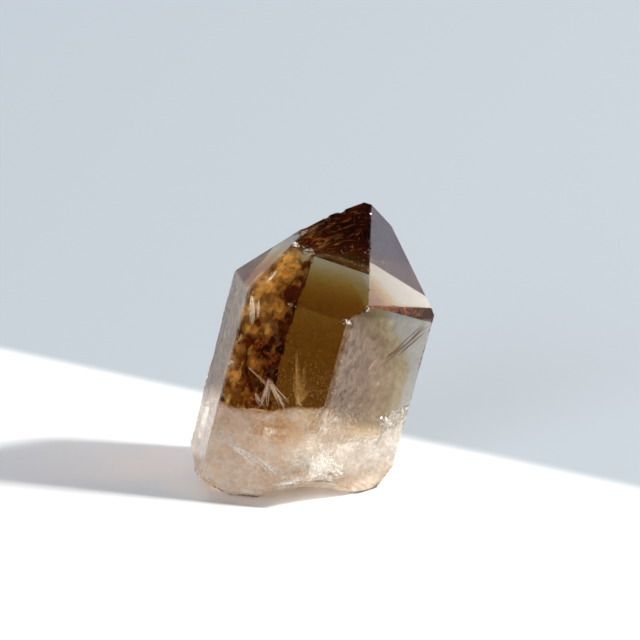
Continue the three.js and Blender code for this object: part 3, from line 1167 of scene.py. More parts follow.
BLADE_STEPS = 7
BLADE_TAPER = (0.08, 0.9, 0.8)  # of half a wave: where it starts, how much of it is used, and its power
FLAKE_CORNERS = (4, 6)
FLAKE_UNEVEN = (0.45, 1.0)
FLAKE_SHIFT = 0.3  # how far a corner may be from its even place, as a share of the step


def blade(bm, start, end, width, bend, flat, layers, shares):
    """A thin curved leaf from start to end. flat says which way its flat side looks."""
    along = end - start
    side = along.cross(flat).normalized()
    blunt, used, power = BLADE_TAPER
    rails = []
    for step in range(BLADE_STEPS + 1):
        share = step / BLADE_STEPS
        middle = start + along * share + flat * mm(bend) * math.sin(math.pi * share)
        half = side * mm(width) * 0.5 * math.sin(math.pi * (blunt + used * share)) ** power
        rails.append([bm.verts.new(middle - half), bm.verts.new(middle + half)])
    for rail in rails:
        for point in rail:
            point[layers[0]], point[layers[1]] = shares
    for (a, b), (c, d) in zip(rails, rails[1:]):
        bm.faces.new((a, b, d, c))


def turned_a_little(normal, much):
    """A direction near that of a face, for a leaf to lie in."""
    return (normal + noise.random_unit_vector() * much).normalized()


def between(chance, start, end, share, spread):
    """A point so far along the line on a face from start to end, strayed a little."""
    return [a + (b - a) * share + chance.gauss(0, spread) for a, b in zip(start, end)]


def flake(bm, place, size, chance, layers, shares):
    """A tiny flat splinter with an uneven outline, turned at random."""
    turn = noise.random_unit_vector().to_track_quat("Z", "Y")
    points = []
    count = chance.randint(*FLAKE_CORNERS)
    for number in range(count):
        angle = math.tau * (number + chance.uniform(-FLAKE_SHIFT, FLAKE_SHIFT)) / count
        reach = mm(size) * chance.uniform(*FLAKE_UNEVEN)
        points.append(bm.verts.new(place + turn @ Vector((math.cos(angle), math.sin(angle), 0)) * reach))
    for point in points:
        point[layers[0]], point[layers[1]] = shares
    bm.faces.new(points)


# Feathery white cracks: the face they lie under, where each group starts and ends on it as (across, along),
# its depth, how many blades it has, how wide they are, and how far they spread.
FEATHERS = (
    ("front", (-9.6, 21.6), (-9.2, 16.8), 1.2, 16, 0.26, 1.0),
    ("front", (-9.2, 21.2), (-5.4, 17.4), 1.1, 18, 0.20, 1.5),
    ("front", (-14.2, 22.6), (-8.6, 19.6), 1.4, 4, 0.16, 0.5),
    ("front", (-11.6, 18.0), (-9.6, 16.2), 1.0, 6, 0.26, 0.8),
    ("front", (-19.5, 15.3), (-14.5, 14.2), 0.8, 5, 0.30, 0.4),
    ("front", (-3.2, 20.2), (-1.8, 17.9), 1.4, 4, 0.20, 0.8),
    ("front", (-14.0, 6.8), (-6.5, 4.4), 0.5, 12, 0.35, 0.9),
    ("front", (-7.6, 5.6), (-3.0, 3.9), 0.5, 14, 0.5, 0.8),
    ("front", (-2.5, 1.6), (3.0, 5.0), 0.5, 12, 0.4, 0.9),
    ("front", (-17.2, 36.6), (-15.9, 31.6), 0.8, 9, 0.30, 0.5),
    ("front", (-15.6, 36.4), (-14.8, 33.0), 0.9, 5, 0.20, 0.4),
    ("front slope", (-14.6, 24.0), (-15.6, 21.0), 0.8, 6, 0.22, 0.4),
    ("front right", (-5.7, 28.1), (-4.3, 29.7), 1.0, 3, 0.12, 0.4),
    ("front right", (7.5, 6.0), (10.5, 2.0), 0.9, 6, 0.5, 1.0),
    ("front right", (5.5, 3.5), (11.0, 5.2), 1.1, 6, 0.5, 1.2),
    ("front right", (1.5, 5.0), (5.5, 4.4), 0.9, 5, 0.4, 0.9),
)

# Crushed white spots: the face, their middle on it, depth, how many blades they have, their least and
# greatest reach, and half of the spot's width.
STARS = (
    ("front right", (-12.6, 7.8), 0.42, 420, (0.7, 3.4), 1.9),
    ("front", (2.4, 8.2), 0.42, 140, (0.5, 2.4), 0.9),
    ("front right", (-7.0, 6.8), 0.42, 70, (0.5, 2.0), 0.9),
    ("front right", (-10.7, 40.7), 0.35, 26, (0.2, 0.7), 0.35),
    ("front right", (-13.4, 39.8), 0.35, 22, (0.2, 0.6), 0.3),
    ("front", (2.9, 37.6), 0.35, 22, (0.2, 0.6), 0.3),
    ("front slope", (-13.3, 30.8), 0.35, 34, (0.3, 1.0), 0.35),
    ("front", (-18.2, 22.6), 0.5, 40, (0.2, 0.8), 0.4),
)

# Ranges for the blades of a feathery crack, and of a crushed spot.
FEATHER_DEEPER = (-0.5, 0.9)  # how much deeper a blade ends than it starts
FEATHER_NARROW = 0.4  # how far the starts spread, as a share of how far the ends do
FEATHER_TURN = 0.7
FEATHER_WIDER = (0.5, 1.4)
FEATHER_BEND = (-0.5, 0.7)
FEATHER_MILK, FEATHER_PALE = (0.35, 0.95), (0.4, 1.0)
STAR_SPREAD = (1.0, 0.6)  # a spot is lower than it is wide
STAR_RAYS = (0.8, 0.5)  # how far its rays reach across and along
STAR_START, STAR_END = (-0.1, 0.3), (-0.15, 0.6)  # how much deeper they start and end
STAR_WIDTH, STAR_BEND, STAR_MILK = (0.12, 0.5), (-0.4, 0.4), (0.5, 1.0)
CRACK_GRAIN = 0.5


class QUARTZ_OT_cracks(bpy.types.Operator):
    """Set white feathery cracks and crushed spots into the crystal"""

    bl_idname = "quartz.cracks"
    bl_label = "White cracks"

    def execute(self, context):
        looks = context.scene.quartz
        chance = seeded("cracks")
        inside = Inside()
        material = veil_material("crack", looks, looks.crack_tint, looks.milk_pale, CRACK_GRAIN)

        def feathers(bm):
            layers = share_layers(bm)
            for words, start, end, depth, count, width, spread in FEATHERS:
                face = named_face(words)
                for _ in range(count):
                    root = [part + chance.uniform(-spread, spread) * FEATHER_NARROW for part in start]
                    tip = [part + chance.uniform(-spread, spread) for part in end]
                    first = face.at(*root, depth)
                    last = face.at(*tip, depth + chance.uniform(*FEATHER_DEEPER))
                    flat = turned_a_little(face.normal, FEATHER_TURN)
                    if inside(first) and inside(last):
                        wide = width * chance.uniform(*FEATHER_WIDER)
                        shares = (chance.uniform(*FEATHER_MILK), chance.uniform(*FEATHER_PALE))
                        blade(bm, first, last, wide, chance.uniform(*FEATHER_BEND), flat, layers, shares)

        def stars(bm):
            layers = share_layers(bm)
            for words, middle, depth, count, reaches, half in STARS:
                face = named_face(words)
                for _ in range(count):
                    angle, reach = chance.uniform(0, math.tau), chance.uniform(*reaches)
                    spread = [half * share for share in STAR_SPREAD]
                    root = [part + chance.gauss(0, far) for part, far in zip(middle, spread)]
                    ray = (math.cos(angle) * reach, math.sin(angle) * reach)
                    tip = [start + part * far for start, part, far in zip(root, ray, STAR_RAYS)]
                    first = face.at(*root, depth + chance.uniform(*STAR_START))
                    last = face.at(*tip, depth + chance.uniform(*STAR_END))
                    if inside(first) and inside(last):
                        flat, wide = noise.random_unit_vector(), chance.uniform(*STAR_WIDTH)
                        shares = (chance.uniform(*STAR_MILK), 1.0)
                        blade(bm, first, last, wide, chance.uniform(*STAR_BEND), flat, layers, shares)

        piece_of("feathery_cracks", mesh_from("feathery_cracks", feathers), material, smooth=True)
        piece_of("crushed_spots", mesh_from("crushed_spots", stars), material, smooth=True)
        return {"FINISHED"}


# Red-brown streaks under the top of the front slope face, from the first corner of a patch to the other,
# in (across, along), and how many.
STREAKS = (
    ((-15.0, 29.0), (-8.0, 37.0), 80),
    ((-9.0, 33.0), (-1.5, 43.5), 50),
    ((-13.0, 31.5), (-6.0, 40.0), 50),
)
STREAK_RUNS = (0.75, 0.65)  # their direction, across and along
STREAK_STRAYS = 0.5
STREAK_LENGTHS = (0.3, 2.4)
STREAK_DEPTHS = (0.4, 3.0)
STREAK_DEEPER = 0.3
STREAK_TURN = 0.8
STREAK_WIDTHS, STREAK_BEND, STREAK_MILK = (0.05, 0.22), (-0.3, 0.3), (0.15, 0.6)
STREAK_PALE_POWER = 3  # most streaks are dark, and a few pale
STREAK_GRAIN = 0.5

# Red-brown grains along the top of the front right face: ends of the line, their spread, and how many.
RED_GRAINS = ((-9.5, 41.2), (5.0, 40.4), 0.55, 420)
RED_GRAIN_NARROW = 0.3  # the line's spread at its start
RED_GRAIN_DEPTHS, RED_GRAIN_SIZES, RED_GRAIN_MILK = (0.3, 1.0), (0.10, 0.32), (0.3, 0.9)
RED_GRAIN_PALE_POWER = 4


class QUARTZ_OT_streaks(bpy.types.Operator):
    """Draw red-brown streaks through the dark smoke in the tip"""

    bl_idname = "quartz.streaks"
    bl_label = "Streaks in the tip"

    def execute(self, context):
        looks = context.scene.quartz
        chance = seeded("streaks")
        inside = Inside()
        material = veil_material("streak", looks, looks.amber_tint, looks.streak_tint, STREAK_GRAIN)

        def grains(bm):
            layers = share_layers(bm)
            face = prism_face("front right")
            start, end, spread, count = RED_GRAINS
            for _ in range(count):
                share = chance.random()
                spot = between(chance, start, end, share, spread * (RED_GRAIN_NARROW + share))
                place = face.at(*spot, chance.uniform(*RED_GRAIN_DEPTHS))
                if inside(place):
                    size = chance.uniform(*RED_GRAIN_SIZES)
                    shares = (chance.uniform(*RED_GRAIN_MILK), chance.random() ** RED_GRAIN_PALE_POWER)
                    flake(bm, place, size, chance, layers, shares)

        def streaks(bm):
            layers = share_layers(bm)
            face = slope_face("front")
            for low, high, count in STREAKS:
                for _ in range(count):
                    root = [chance.uniform(a, b) for a, b in zip(low, high)]
                    reach = chance.uniform(*STREAK_LENGTHS)
                    runs = [part * reach for part in STREAK_RUNS]
                    tip = [a + run + chance.gauss(0, STREAK_STRAYS) for a, run in zip(root, runs)]
                    depth = chance.uniform(*STREAK_DEPTHS)
                    first = face.at(*root, depth)
                    last = face.at(*tip, depth + chance.gauss(0, STREAK_DEEPER))
                    if inside(first) and inside(last):
                        flat = turned_a_little(face.normal, STREAK_TURN)
                        shares = (chance.uniform(*STREAK_MILK), chance.random() ** STREAK_PALE_POWER)
                        wide, bend = chance.uniform(*STREAK_WIDTHS), chance.uniform(*STREAK_BEND)
                        blade(bm, first, last, wide, bend, flat, layers, shares)

        piece_of("red_grains", mesh_from("red_grains", grains), material)
        piece_of("streaks", mesh_from("streaks", streaks), material, smooth=True)
        return {"FINISHED"}


# Painted light: these amber veils stand in for the sunlight and glints that the rough back left face
# reflects inside the smoke.
# Amber patches: the face, their middle on it, half their width and height, and how solid and pale they are.
PAINTED_AMBER_LIGHT = (
    ("front", (-18.5, 22.6), (2.6, 2.3), 1.0, 1.0),
    ("front", (-17.9, 19.8), (3.4, 2.6), 1.0, 0.35),
    ("front", (-17.8, 32.9), (2.4, 3.4), 0.8, 0.2),
    ("front", (-16.3, 34.9), (1.8, 4.0), 1.0, 0.8),
    ("front", (-13.6, 35.0), (2.6, 3.6), 0.8, 0.3),
    ("front", (-11.4, 35.4), (2.2, 2.4), 0.7, 0.1),
    ("front", (-12.1, 31.6), (2.4, 2.0), 1.0, 0.6),
    ("front", (-15.9, 30.2), (2.4, 1.7), 0.7, 0.2),
    ("front", (-13.3, 23.7), (2.2, 2.0), 0.6, 0.0),
    ("front", (-17.0, 25.4), (2.0, 1.8), 0.6, 0.2),
    ("front", (-16.8, 16.8), (4.5, 2.0), 0.5, 0.1),
    ("front slope", (-13.3, 26.4), (3.4, 4.6), 1.0, 0.3),
    ("front slope", (-15.6, 21.6), (3.4, 4.8), 0.9, 0.2),
    ("front slope", (-17.4, 20.3), (2.0, 2.8), 0.7, 0.4),
)
AMBER_DEPTH = 1.8
AMBER_CRUMPLE = 0.9
AMBER_ENDS = -8.6  # across the front face; the clear panel of smoke starts there
AMBER_FADES = 0.8  # over so many millimetres
AMBER_TOPS = (("front", 40.0), ("front slope", 36.0))  # how far up each face the painted light may reach
AMBER_LEFT, AMBER_LOW = -24.0, 14.0
AMBER_GRAIN = 3.0

# Unevenness of the painted amber light, as in the foot: clumps drawn aside, and fine strokes that run
# upwards.
AMBER_DRAWN = (2.2, 2.0, 21.0)
AMBER_CLUMPS, AMBER_CLUMPS_SHOW = (2.8, 14.0), (0.3, 0.7)
AMBER_STROKES, AMBER_STROKES_SHOW = (0.9, 15.0), (0.25, 0.75)
AMBER_STROKES_UPRIGHT = 0.6


def amber(words):
    """How solid and how pale the painted amber light under one face is, as a function of the place on it."""
    clouds = [row[1:] for row in PAINTED_AMBER_LIGHT if row[0] == words]

    def shares(across, along):
        drawn = uneven(across, along, *AMBER_DRAWN)
        clumps = soft(mottle(across + drawn, along - drawn, *AMBER_CLUMPS), *AMBER_CLUMPS_SHOW)
        fine = soft(mottle(across, along * AMBER_STROKES_UPRIGHT, *AMBER_STROKES), *AMBER_STROKES_SHOW)
        solid = light = 0.0
        for middle, half, strength, pale in clouds:
            share = cloud(across, along, middle, half) * strength
            solid, light = max(solid, share), light + share * pale
        solid = solid * (0.6 + 0.4 * clumps) * (0.75 + 0.25 * fine) + 0.2 * clumps * fine
        return solid * soft(across, AMBER_ENDS, AMBER_ENDS - AMBER_FADES), light * (0.4 + 0.6 * fine)

    return shares


class QUARTZ_OT_amber(bpy.types.Operator):
    """Hang painted amber light and glints in the smoke behind the left of the front and front slope faces"""

    bl_idname = "quartz.amber"
    # The amber clouds of the label are painted light and glints.
    bl_label = "Amber clouds"

    def execute(self, context):
        looks = context.scene.quartz
        inside = Inside()
        material = veil_material("amber", looks, looks.amber_pale, looks.amber_tint, AMBER_GRAIN)
        for words, high in AMBER_TOPS:
            name = "painted_amber_light_" + words.replace(" ", "_")
            face, reach = named_face(words), (AMBER_LEFT, AMBER_ENDS, AMBER_LOW, high)
            veil(name, face, reach, AMBER_DEPTH, AMBER_CRUMPLE, amber(words), material, inside)
        return {"FINISHED"}


# The pale plume: its foot and its tips as (across, along) on the front face, and its depth.
PLUME_ROOT = (-2.6, 18.6)
PLUME_TIPS = (
    (-5.2, 24.0), (-5.3, 27.0), (-5.6, 28.8), (-3.4, 26.4), (-2.6, 23.4), (-4.4, 21.6), (-1.6, 21.8),
)
PLUME_DEPTH = 2.4
PLUME_BLADES, PLUME_BUBBLES = 5, 110  # toward each tip
PLUME_ROOT_SPREAD, PLUME_TIP_SPREAD = (-0.7, 0.7), (-0.35, 0.35)
PLUME_START, PLUME_END = (-0.5, 0.5), (-0.8, 0.8)  # how much deeper a blade starts and ends
PLUME_TURN = 0.8
PLUME_WIDTHS, PLUME_BEND = (0.15, 0.5), (-0.4, 0.4)
PLUME_MILK, PLUME_PALE = (0.10, 0.35), (0.3, 1.0)
BUBBLE_STRAYS, BUBBLE_DEEPER = 0.25, 0.5
BUBBLE_SIZES, BUBBLE_MILK = (0.04, 0.12), (0.3, 0.9)
PLUME_GRAIN = 0.4


class QUARTZ_OT_plume(bpy.types.Operator):
    """Raise the pale plume of fine bubbles out of the foot into the smoke"""

    bl_idname = "quartz.plume"
    bl_label = "Plume"

    def execute(self, context):
        looks = context.scene.quartz
        chance = seeded("plume")
        face = prism_face("front")
        material = veil_material("plume", looks, looks.plume_tint, looks.milk_dim, PLUME_GRAIN)

        def build(bm):
            layers = share_layers(bm)
            for tip in PLUME_TIPS:
                for _ in range(PLUME_BLADES):
                    root = [part + chance.uniform(*PLUME_ROOT_SPREAD) for part in PLUME_ROOT]
                    end = [part + chance.uniform(*PLUME_TIP_SPREAD) for part in tip]
                    first = face.at(*root, PLUME_DEPTH + chance.uniform(*PLUME_START))
                    last = face.at(*end, PLUME_DEPTH + chance.uniform(*PLUME_END))
                    flat = turned_a_little(face.normal, PLUME_TURN)
                    shares = (chance.uniform(*PLUME_MILK), chance.uniform(*PLUME_PALE))
                    wide, bend = chance.uniform(*PLUME_WIDTHS), chance.uniform(*PLUME_BEND)
                    blade(bm, first, last, wide, bend, flat, layers, shares)
                for _ in range(PLUME_BUBBLES):
                    spot = between(chance, PLUME_ROOT, tip, chance.random(), BUBBLE_STRAYS)
                    place = face.at(*spot, PLUME_DEPTH + chance.gauss(0, BUBBLE_DEEPER))
                    shares = (chance.uniform(*BUBBLE_MILK), chance.uniform(*PLUME_PALE))
                    flake(bm, place, chance.uniform(*BUBBLE_SIZES), chance, layers, shares)

        piece_of("plume", mesh_from("plume", build), material)
        return {"FINISHED"}


# Where splinters lie: the face, the middle on it, half the width and height, tilt in degrees, least and
# greatest depth, how many, and their sizes.
SPLINTERS = (
    ("front", (-6.0, 9.0), (15.0, 8.5), 12, (0.4, 6.0), 1500, (0.05, 0.30)),
    ("front", (3.0, 16.5), (7.0, 3.0), 15, (0.4, 3.5), 700, (0.05, 0.26)),
    ("front right", (2.0, 9.0), (12.0, 8.0), 0, (0.4, 5.0), 1300, (0.05, 0.28)),
    ("front right", (-7.0, 16.5), (4.0, 3.5), -30, (0.4, 3.0), 500, (0.05, 0.24)),
    ("front right", (0.0, 28.0), (12.0, 14.0), 0, (0.4, 3.0), 620, (0.04, 0.15)),
    ("front right slope", (-4.0, 34.0), (9.0, 16.0), 0, (0.3, 2.0), 800, (0.04, 0.14)),
    ("front", (-3.0, 30.0), (14.0, 14.0), 12, (0.4, 4.0), 460, (0.04, 0.13)),
    ("front", (-2.0, 22.5), (9.0, 5.5), 12, (0.4, 4.0), 900, (0.04, 0.15)),
    ("front right", (5.2, 18.0), (4.8, 1.6), 28, (0.32, 0.6), 260, (0.10, 0.38)),
    ("front slope", (-3.0, 28.0), (12.0, 12.0), 12, (0.4, 3.0), 360, (0.03, 0.12)),
    ("left", (0.0, 10.0), (10.0, 12.0), 0, (0.4, 3.0), 200, (0.04, 0.18)),
)

# The silvery gap: the same, for splinters that light bounces off.
SILVER = ("front right", (5.5, 18.1), (4.2, 1.7), 28, (0.32, 0.8), 420, (0.12, 0.5))

SPLINTER_CLEAR = 0.3  # how far a splinter stays under the surface
SPLINTER_MILK, SPLINTER_PALE = (0.2, 1.0), (0.3, 1.0)
SPLINTER_GRAIN = 0.6
SILVER_ROUGHNESS = 0.12


def scattered(row, chance, inside):
    """Random places in a soft oval under a face, denser in its middle. The row is as in SPLINTERS."""
    words, middle, half, turn, depths, count, _ = row
    face = named_face(words)
    c, s = math.cos(math.radians(turn)), math.sin(math.radians(turn))
    for _ in range(count):
        x, y = chance.gauss(0, half[0] / 2), chance.gauss(0, half[1] / 2)
        spot = (middle[0] + x * c - y * s, middle[1] + x * s + y * c)
        place = face.at(*spot, chance.uniform(*depths))
        if inside(place, SPLINTER_CLEAR):
            yield place


class QUARTZ_OT_splinters(bpy.types.Operator):
    """Scatter pale splinters through the foot, finer ones higher up, and the silvery gap near the foot"""

    bl_idname = "quartz.splinters"
    bl_label = "Splinters"

    def execute(self, context):
        looks = context.scene.quartz
        chance = seeded("splinters")
        inside = Inside()
        pale = veil_material("splinter", looks, looks.crack_tint, looks.milk_dim, SPLINTER_GRAIN)
        silver = mirror_material("silver", looks.silver_tint, SILVER_ROUGHNESS)

        def splinters(bm):
            layers = share_layers(bm)
            for row in SPLINTERS:
                for place in scattered(row, chance, inside):
                    shares = (chance.uniform(*SPLINTER_MILK), chance.uniform(*SPLINTER_PALE))
                    flake(bm, place, chance.uniform(*row[-1]), chance, layers, shares)

        def gap(bm):
            layers = share_layers(bm)
            for place in scattered(SILVER, chance, inside):
                flake(bm, place, chance.uniform(*SILVER[-1]), chance, layers, (1.0, 1.0))

        piece_of("splinters", mesh_from("splinters", splinters), pale)
        piece_of("silvery_gap", mesh_from("silvery_gap", gap), silver)
        return {"FINISHED"}


# The white flakes are partly real bruising and partly painted glints, where the edges sparkle.
BRUISE_FLAKES = 5  # on each bruised point
BRUISE_STRAYS = (0.1, 0.5)  # how far they lie from it
BRUISE_DEPTH = 0.16
BRUISE_DEPTHS = (0.5, 1.0)  # shares of that depth
BRUISE_SIZES = (0.06, 0.20)
BRUISE_MILK = (0.4, 1.0)
BRUISE_GRAIN = 0.4


class QUARTZ_OT_bruises(bpy.types.Operator):
    """Whiten the bruised edges with tiny crushed flakes, which also stand in as painted glints"""

    bl_idname = "quartz.bruises"
    bl_label = "Bruises"

    def execute(self, context):
        looks = context.scene.quartz
        chance = seeded("bruises")
        inside = Inside()
        material = veil_material("crushed", looks, looks.crack_tint, looks.crack_tint, BRUISE_GRAIN)

        def build(bm):
            layers = share_layers(bm)
            for point in bruised_points(chance):
                for _ in range(BRUISE_FLAKES):
                    place = point + noise.random_unit_vector() * mm(chance.uniform(*BRUISE_STRAYS))
                    if inside(place, BRUISE_DEPTH * chance.uniform(*BRUISE_DEPTHS)):
                        shares = (chance.uniform(*BRUISE_MILK), 1.0)
                        flake(bm, place, chance.uniform(*BRUISE_SIZES), chance, layers, shares)

        piece_of("bruises", mesh_from("bruises", build), material)
        return {"FINISHED"}


# Needles, as two ends on the front right face in (across, along, depth), and their thickness.
NEEDLES = (
    ((7.4, 37.4, 0.5), (-1.9, 29.3, 0.7), 0.16),
    ((6.2, 37.9, 0.6), (-0.5, 31.6, 0.6), 0.13),
    ((7.2, 36.2, 0.5), (1.6, 31.2, 0.6), 0.20),
    ((6.8, 37.6, 0.7), (3.2, 33.6, 0.6), 0.22),
    ((2.6, 33.6, 0.5), (-1.2, 31.2, 0.7), 0.20),
    ((1.4, 32.4, 0.5), (-1.6, 30.9, 0.7), 0.12),
    ((-1.4, 29.8, 0.6), (-3.6, 27.9, 0.7), 0.10),
)

NEEDLES_THICKER = 1.9  # all of them, than their rows say
NEEDLE_SIDES, NEEDLE_STEPS = 5, 10
NEEDLE_WANDER, NEEDLE_CROOK = 0.10, 1.6  # how far a needle strays, and over what length
NEEDLE_TAPER = (0.06, 0.88, 0.6)  # as for a blade

# Dark grains: the face, where they lie in (across, along, depth), and their size.
GRAINS = (
    ("front right", (4.7, 29.4, 0.8), 0.22),
    ("front right", (5.1, 29.1, 0.9), 0.12),
    ("front right", (1.9, 21.9, 0.8), 0.20),
    ("front right", (5.8, 38.8, 0.8), 0.28),
    ("front right", (6.4, 38.2, 0.8), 0.16),
    ("front right", (5.6, 22.4, 0.9), 0.15),
    ("front right", (4.9, 22.2, 0.9), 0.12),
    ("front right", (7.4, 23.0, 0.8), 0.24),
    ("front right", (-1.5, 24.6, 1.0), 0.10),
    ("front right", (4.0, 34.6, 1.0), 0.10),
    ("left", (-5.0, 8.8, 0.6), 0.20),
    ("left", (-4.6, 8.0, 0.6), 0.24),
    ("left", (-3.8, 7.2, 0.6), 0.20),
    ("left", (-3.0, 6.4, 0.6), 0.18),
    ("left", (-7.6, 8.2, 0.6), 0.22),
)
GRAIN_SHAPE = (1.0, 0.6, 0.4)
GRAIN_UNEVEN = (0.75, 1.15)
GRAIN_DARKER = 0.35  # a grain's colour, as a share of the needles'


def needle(bm, start, end, thickness):
    """A tapered, slightly crooked rod."""
    along = (end - start).normalized()
    across = along.orthogonal().normalized()
    beside = along.cross(across)
    blunt, used, power = NEEDLE_TAPER
    rings = []
    for step in range(NEEDLE_STEPS + 1):
        share = step / NEEDLE_STEPS
        middle = start.lerp(end, share)
        middle = middle + mm(NEEDLE_WANDER) * noise.noise_vector(middle / mm(NEEDLE_CROOK))
        half = mm(thickness) * 0.5 * math.sin(math.pi * (blunt + used * share)) ** power
        ring = []
        for side in range(NEEDLE_SIDES):
            angle = math.tau * side / NEEDLE_SIDES
            ring.append(bm.verts.new(middle + (across * math.cos(angle) + beside * math.sin(angle)) * half))
        rings.append(ring)
    for low, high in zip(rings, rings[1:]):
        for side in range(NEEDLE_SIDES):
            after = (side + 1) % NEEDLE_SIDES
            bm.faces.new((low[side], low[after], high[after], high[side]))
    bm.faces.new(list(reversed(rings[0])))
    bm.faces.new(rings[-1])


class QUARTZ_OT_needles(bpy.types.Operator):
    """Set the brown needles and dark grains under the front right and left faces"""

    bl_idname = "quartz.needles"
    bl_label = "Needles and grains"

    def execute(self, context):
        looks = context.scene.quartz
        chance = seeded("needles")
        brown = needle_material("needle", looks.needle_tint)

        def needles(bm):
            face = prism_face("front right")
            for start, end, thickness in NEEDLES:
                needle(bm, face.at(*start), face.at(*end), thickness * NEEDLES_THICKER)

        def grains(bm):
            for words, spot, size in GRAINS:
                face = named_face(words)
                lump = bmesh.ops.create_icosphere(bm, subdivisions=2, radius=1.0)["verts"]
                shape = Matrix.Diagonal([mm(size) * part for part in GRAIN_SHAPE])
                turn = noise.random_unit_vector().to_track_quat("X", "Z").to_matrix()
                for vert in lump:
                    vert.co = turn @ shape @ (vert.co * chance.uniform(*GRAIN_UNEVEN)) + face.at(*spot)

        piece_of("needles", mesh_from("needles", needles), brown, smooth=True)
        dark = needle_material("grain", [part * GRAIN_DARKER for part in looks.needle_tint])
        piece_of("grains", mesh_from("grains", grains), dark)
        return {"FINISHED"}


# ---- Stage --------------------------------------------------------------------------------------------

# The lights: name, direction from the crystal, distance, side, colour and watts. The fills only soften the
# shade on the surface, and aren't seen in or through the crystal.
KEY = ("key", (0.828, -0.131, 0.545), 3600.0, 440.0, (1.0, 0.97, 0.92), 300.0)
WINDOW = ("window", (0.885, 0.227, 0.401), 1000.0, 420.0, (0.88, 0.84, 1.0), 1.15)
FILLS = (
    ("fill_behind", (-0.35, 0.75, 0.65), 1500.0, 900.0, (0.80, 0.90, 1.0), 9.0),
    ("fill_before", (-0.45, -0.75, 0.22), 1500.0, 900.0, (0.90, 0.94, 1.0), 19.0),
)
AIM = (0, 0, 25)  # the point on the crystal that the lights look at

# The air round the stage: dark in front, and brighter toward the back right.
AIR_BRIGHTENS_TOWARD = (0.45, 0.85, -0.3)
AIR_DARK = (0.03, 0.035, 0.04, 1)
AIR_BRIGHT = (0.62, 0.68, 0.76, 1)
AIR_BRIGHT_FROM = 0.55  # it is brightest where a direction shares this much with that one

CAMERA_TARGET = (1.585, -2.812, 34.69)
CAMERA_HEIGHT = math.radians(17)
CAMERA_DISTANCE = 700.0
CAMERA_LENS = 196.875
CAMERA_SENSOR = 36.0

# How many times light may bounce in all, off shiny faces, and through clear ones and veils.
BOUNCES, SHINY_BOUNCES, CLEAR_BOUNCES = 32, 24, 32
PAPER_PARTS = 8  # squares of the paper's mesh along a side


def area_light(name, toward, distance, side, colour, watts):
    """A square soft light, so far away in a direction from the crystal, aimed at it."""
    lamp = bpy.data.lights.new(name, "AREA")
    lamp.shape = "SQUARE"
    lamp.size = mm(side)
    lamp.color = colour
    lamp.energy = watts
    made = bpy.data.objects.new(name, lamp)
    bpy.context.scene.collection.objects.link(made)
    direction = Vector(toward).normalized()
    made.location = mm(AIM) + direction * mm(distance)
    made.rotation_euler = direction.to_track_quat("Z", "Y").to_euler()
    made.visible_camera = False
    return made


class QUARTZ_OT_stage(bpy.types.Operator):
    """Lay the paper, set the lights and the world, and place the camera"""

    bl_idname = "quartz.stage"
    bl_label = "Stage"

    def execute(self, context):
        stage = context.scene.quartz_stage
        self.paper(stage)
        area_light(*KEY)
        area_light(*WINDOW)
        for row in FILLS:
            fill = area_light(*row)
            fill.visible_transmission = False
            fill.visible_glossy = False
        self.world(context.scene)
        self.camera(context.scene)
        self.light_paths(context.scene)
        return {"FINISHED"}

    def paper(self, stage):
        """A flat sheet that ends a little in front of the crystal."""

        def build(bm):
            half = stage.floor_side / 2
            bmesh.ops.create_grid(bm, x_segments=PAPER_PARTS, y_segments=PAPER_PARTS, size=half)
            bmesh.ops.translate(bm, verts=bm.verts, vec=(0, half - stage.paper_ends, 0))

        made = loose("paper", mesh_from("paper", build))
        made.data.materials.append(paper_material(stage))
        made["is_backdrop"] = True

    def world(self, scene):
        """The soft light that comes from all round."""
        world = bpy.data.worlds.new("studio")
        world.use_nodes = True
        scene.world = world
        tree = world.node_tree
        tree.nodes.clear()
        output = tree.nodes.new("ShaderNodeOutputWorld")
        air = tree.nodes.new("ShaderNodeBackground")
        place = tree.nodes.new("ShaderNodeTexCoord")
        toward = tree.nodes.new("ShaderNodeVectorMath")
        toward.operation = "DOT_PRODUCT"
        toward.inputs[1].default_value = AIR_BRIGHTENS_TOWARD
        ramp = tree.nodes.new("ShaderNodeValToRGB")
        dark, bright = ramp.color_ramp.elements
        dark.position, bright.position = 0.0, AIR_BRIGHT_FROM
        dark.color, bright.color = AIR_DARK, AIR_BRIGHT
        tree.links.new(place.outputs["Generated"], toward.inputs[0])
        tree.links.new(toward.outputs["Value"], ramp.inputs[0])
        tree.links.new(ramp.outputs[0], air.inputs["Color"])
        tree.links.new(air.outputs[0], output.inputs["Surface"])

    def camera(self, scene):
        """Looks down at the crystal from the front."""
        seen = bpy.data.cameras.new("camera")
        seen.sensor_width = CAMERA_SENSOR
        seen.lens = CAMERA_LENS
        made = bpy.data.objects.new("camera", seen)
        scene.collection.objects.link(made)
        back = Vector((0, -math.cos(CAMERA_HEIGHT), math.sin(CAMERA_HEIGHT)))
        made.location = mm(CAMERA_TARGET) + back * mm(CAMERA_DISTANCE)
        made.rotation_euler = (math.pi / 2 - CAMERA_HEIGHT, 0, 0)
        scene.camera = made

    def light_paths(self, scene):
        """Lets light pass through all the zones and veils that lie behind one another."""
        scene.view_settings.view_transform = "Standard"
        scene.cycles.max_bounces = BOUNCES
        scene.cycles.glossy_bounces = SHINY_BOUNCES
        scene.cycles.transmission_bounces = CLEAR_BOUNCES
        scene.cycles.transparent_max_bounces = CLEAR_BOUNCES


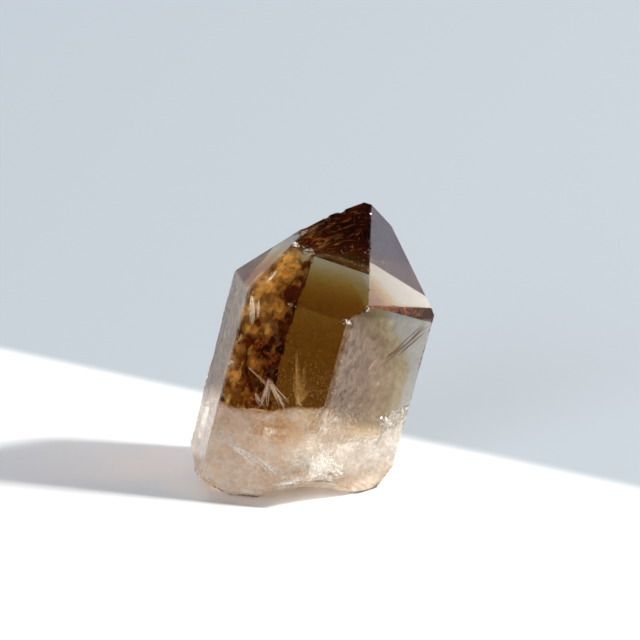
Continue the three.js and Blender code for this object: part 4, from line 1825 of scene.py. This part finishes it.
# ---- Panel and registration ---------------------------------------------------------------------------

STEPS = (
    QUARTZ_OT_crystal,
    QUARTZ_OT_smoke,
    QUARTZ_OT_veils,
    QUARTZ_OT_haze,
    QUARTZ_OT_cracks,
    QUARTZ_OT_amber,
    QUARTZ_OT_streaks,
    QUARTZ_OT_plume,
    QUARTZ_OT_splinters,
    QUARTZ_OT_bruises,
    QUARTZ_OT_needles,
    QUARTZ_OT_stage,
)


class QUARTZ_PT_panel(bpy.types.Panel):
    """Lists the steps in the sidebar, in their order"""

    bl_label = "Smoky quartz point"
    bl_idname = "QUARTZ_PT_panel"
    bl_space_type = "VIEW_3D"
    bl_region_type = "UI"
    bl_category = "Quartz"

    def draw(self, context):
        for step in STEPS:
            self.layout.operator(step.bl_idname)


CLASSES = (QuartzSettings, StageSettings, *STEPS, QUARTZ_PT_panel)


def register():
    """Tells Blender of the settings, the steps and the panel."""
    for one in CLASSES:
        bpy.utils.register_class(one)
    bpy.types.Scene.quartz = PointerProperty(type=QuartzSettings)
    bpy.types.Scene.quartz_stage = PointerProperty(type=StageSettings)


def unregister():
    """Takes all of it back."""
    del bpy.types.Scene.quartz_stage
    del bpy.types.Scene.quartz
    for one in reversed(CLASSES):
        bpy.utils.unregister_class(one)


def write_sizes():
    """Gathers the corners of the solids and of what is seen, in metres, as plain lists, and writes nothing.
    """
    boxes = {"cad": BOX_OF_SOLIDS, "visual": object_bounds()}
    plain = {name: [[float(c) for c in corner] for corner in box] for name, box in boxes.items()}


def main():
    """Builds the whole scene, step by step."""
    register()
    bpy.ops.quartz.crystal()
    bpy.ops.quartz.smoke()
    bpy.ops.quartz.veils()
    bpy.ops.quartz.haze()
    bpy.ops.quartz.cracks()
    bpy.ops.quartz.amber()
    bpy.ops.quartz.streaks()
    bpy.ops.quartz.plume()
    bpy.ops.quartz.splinters()
    bpy.ops.quartz.bruises()
    bpy.ops.quartz.needles()
    bpy.ops.quartz.stage()
    write_sizes()


if __name__ == "__main__":
    main()
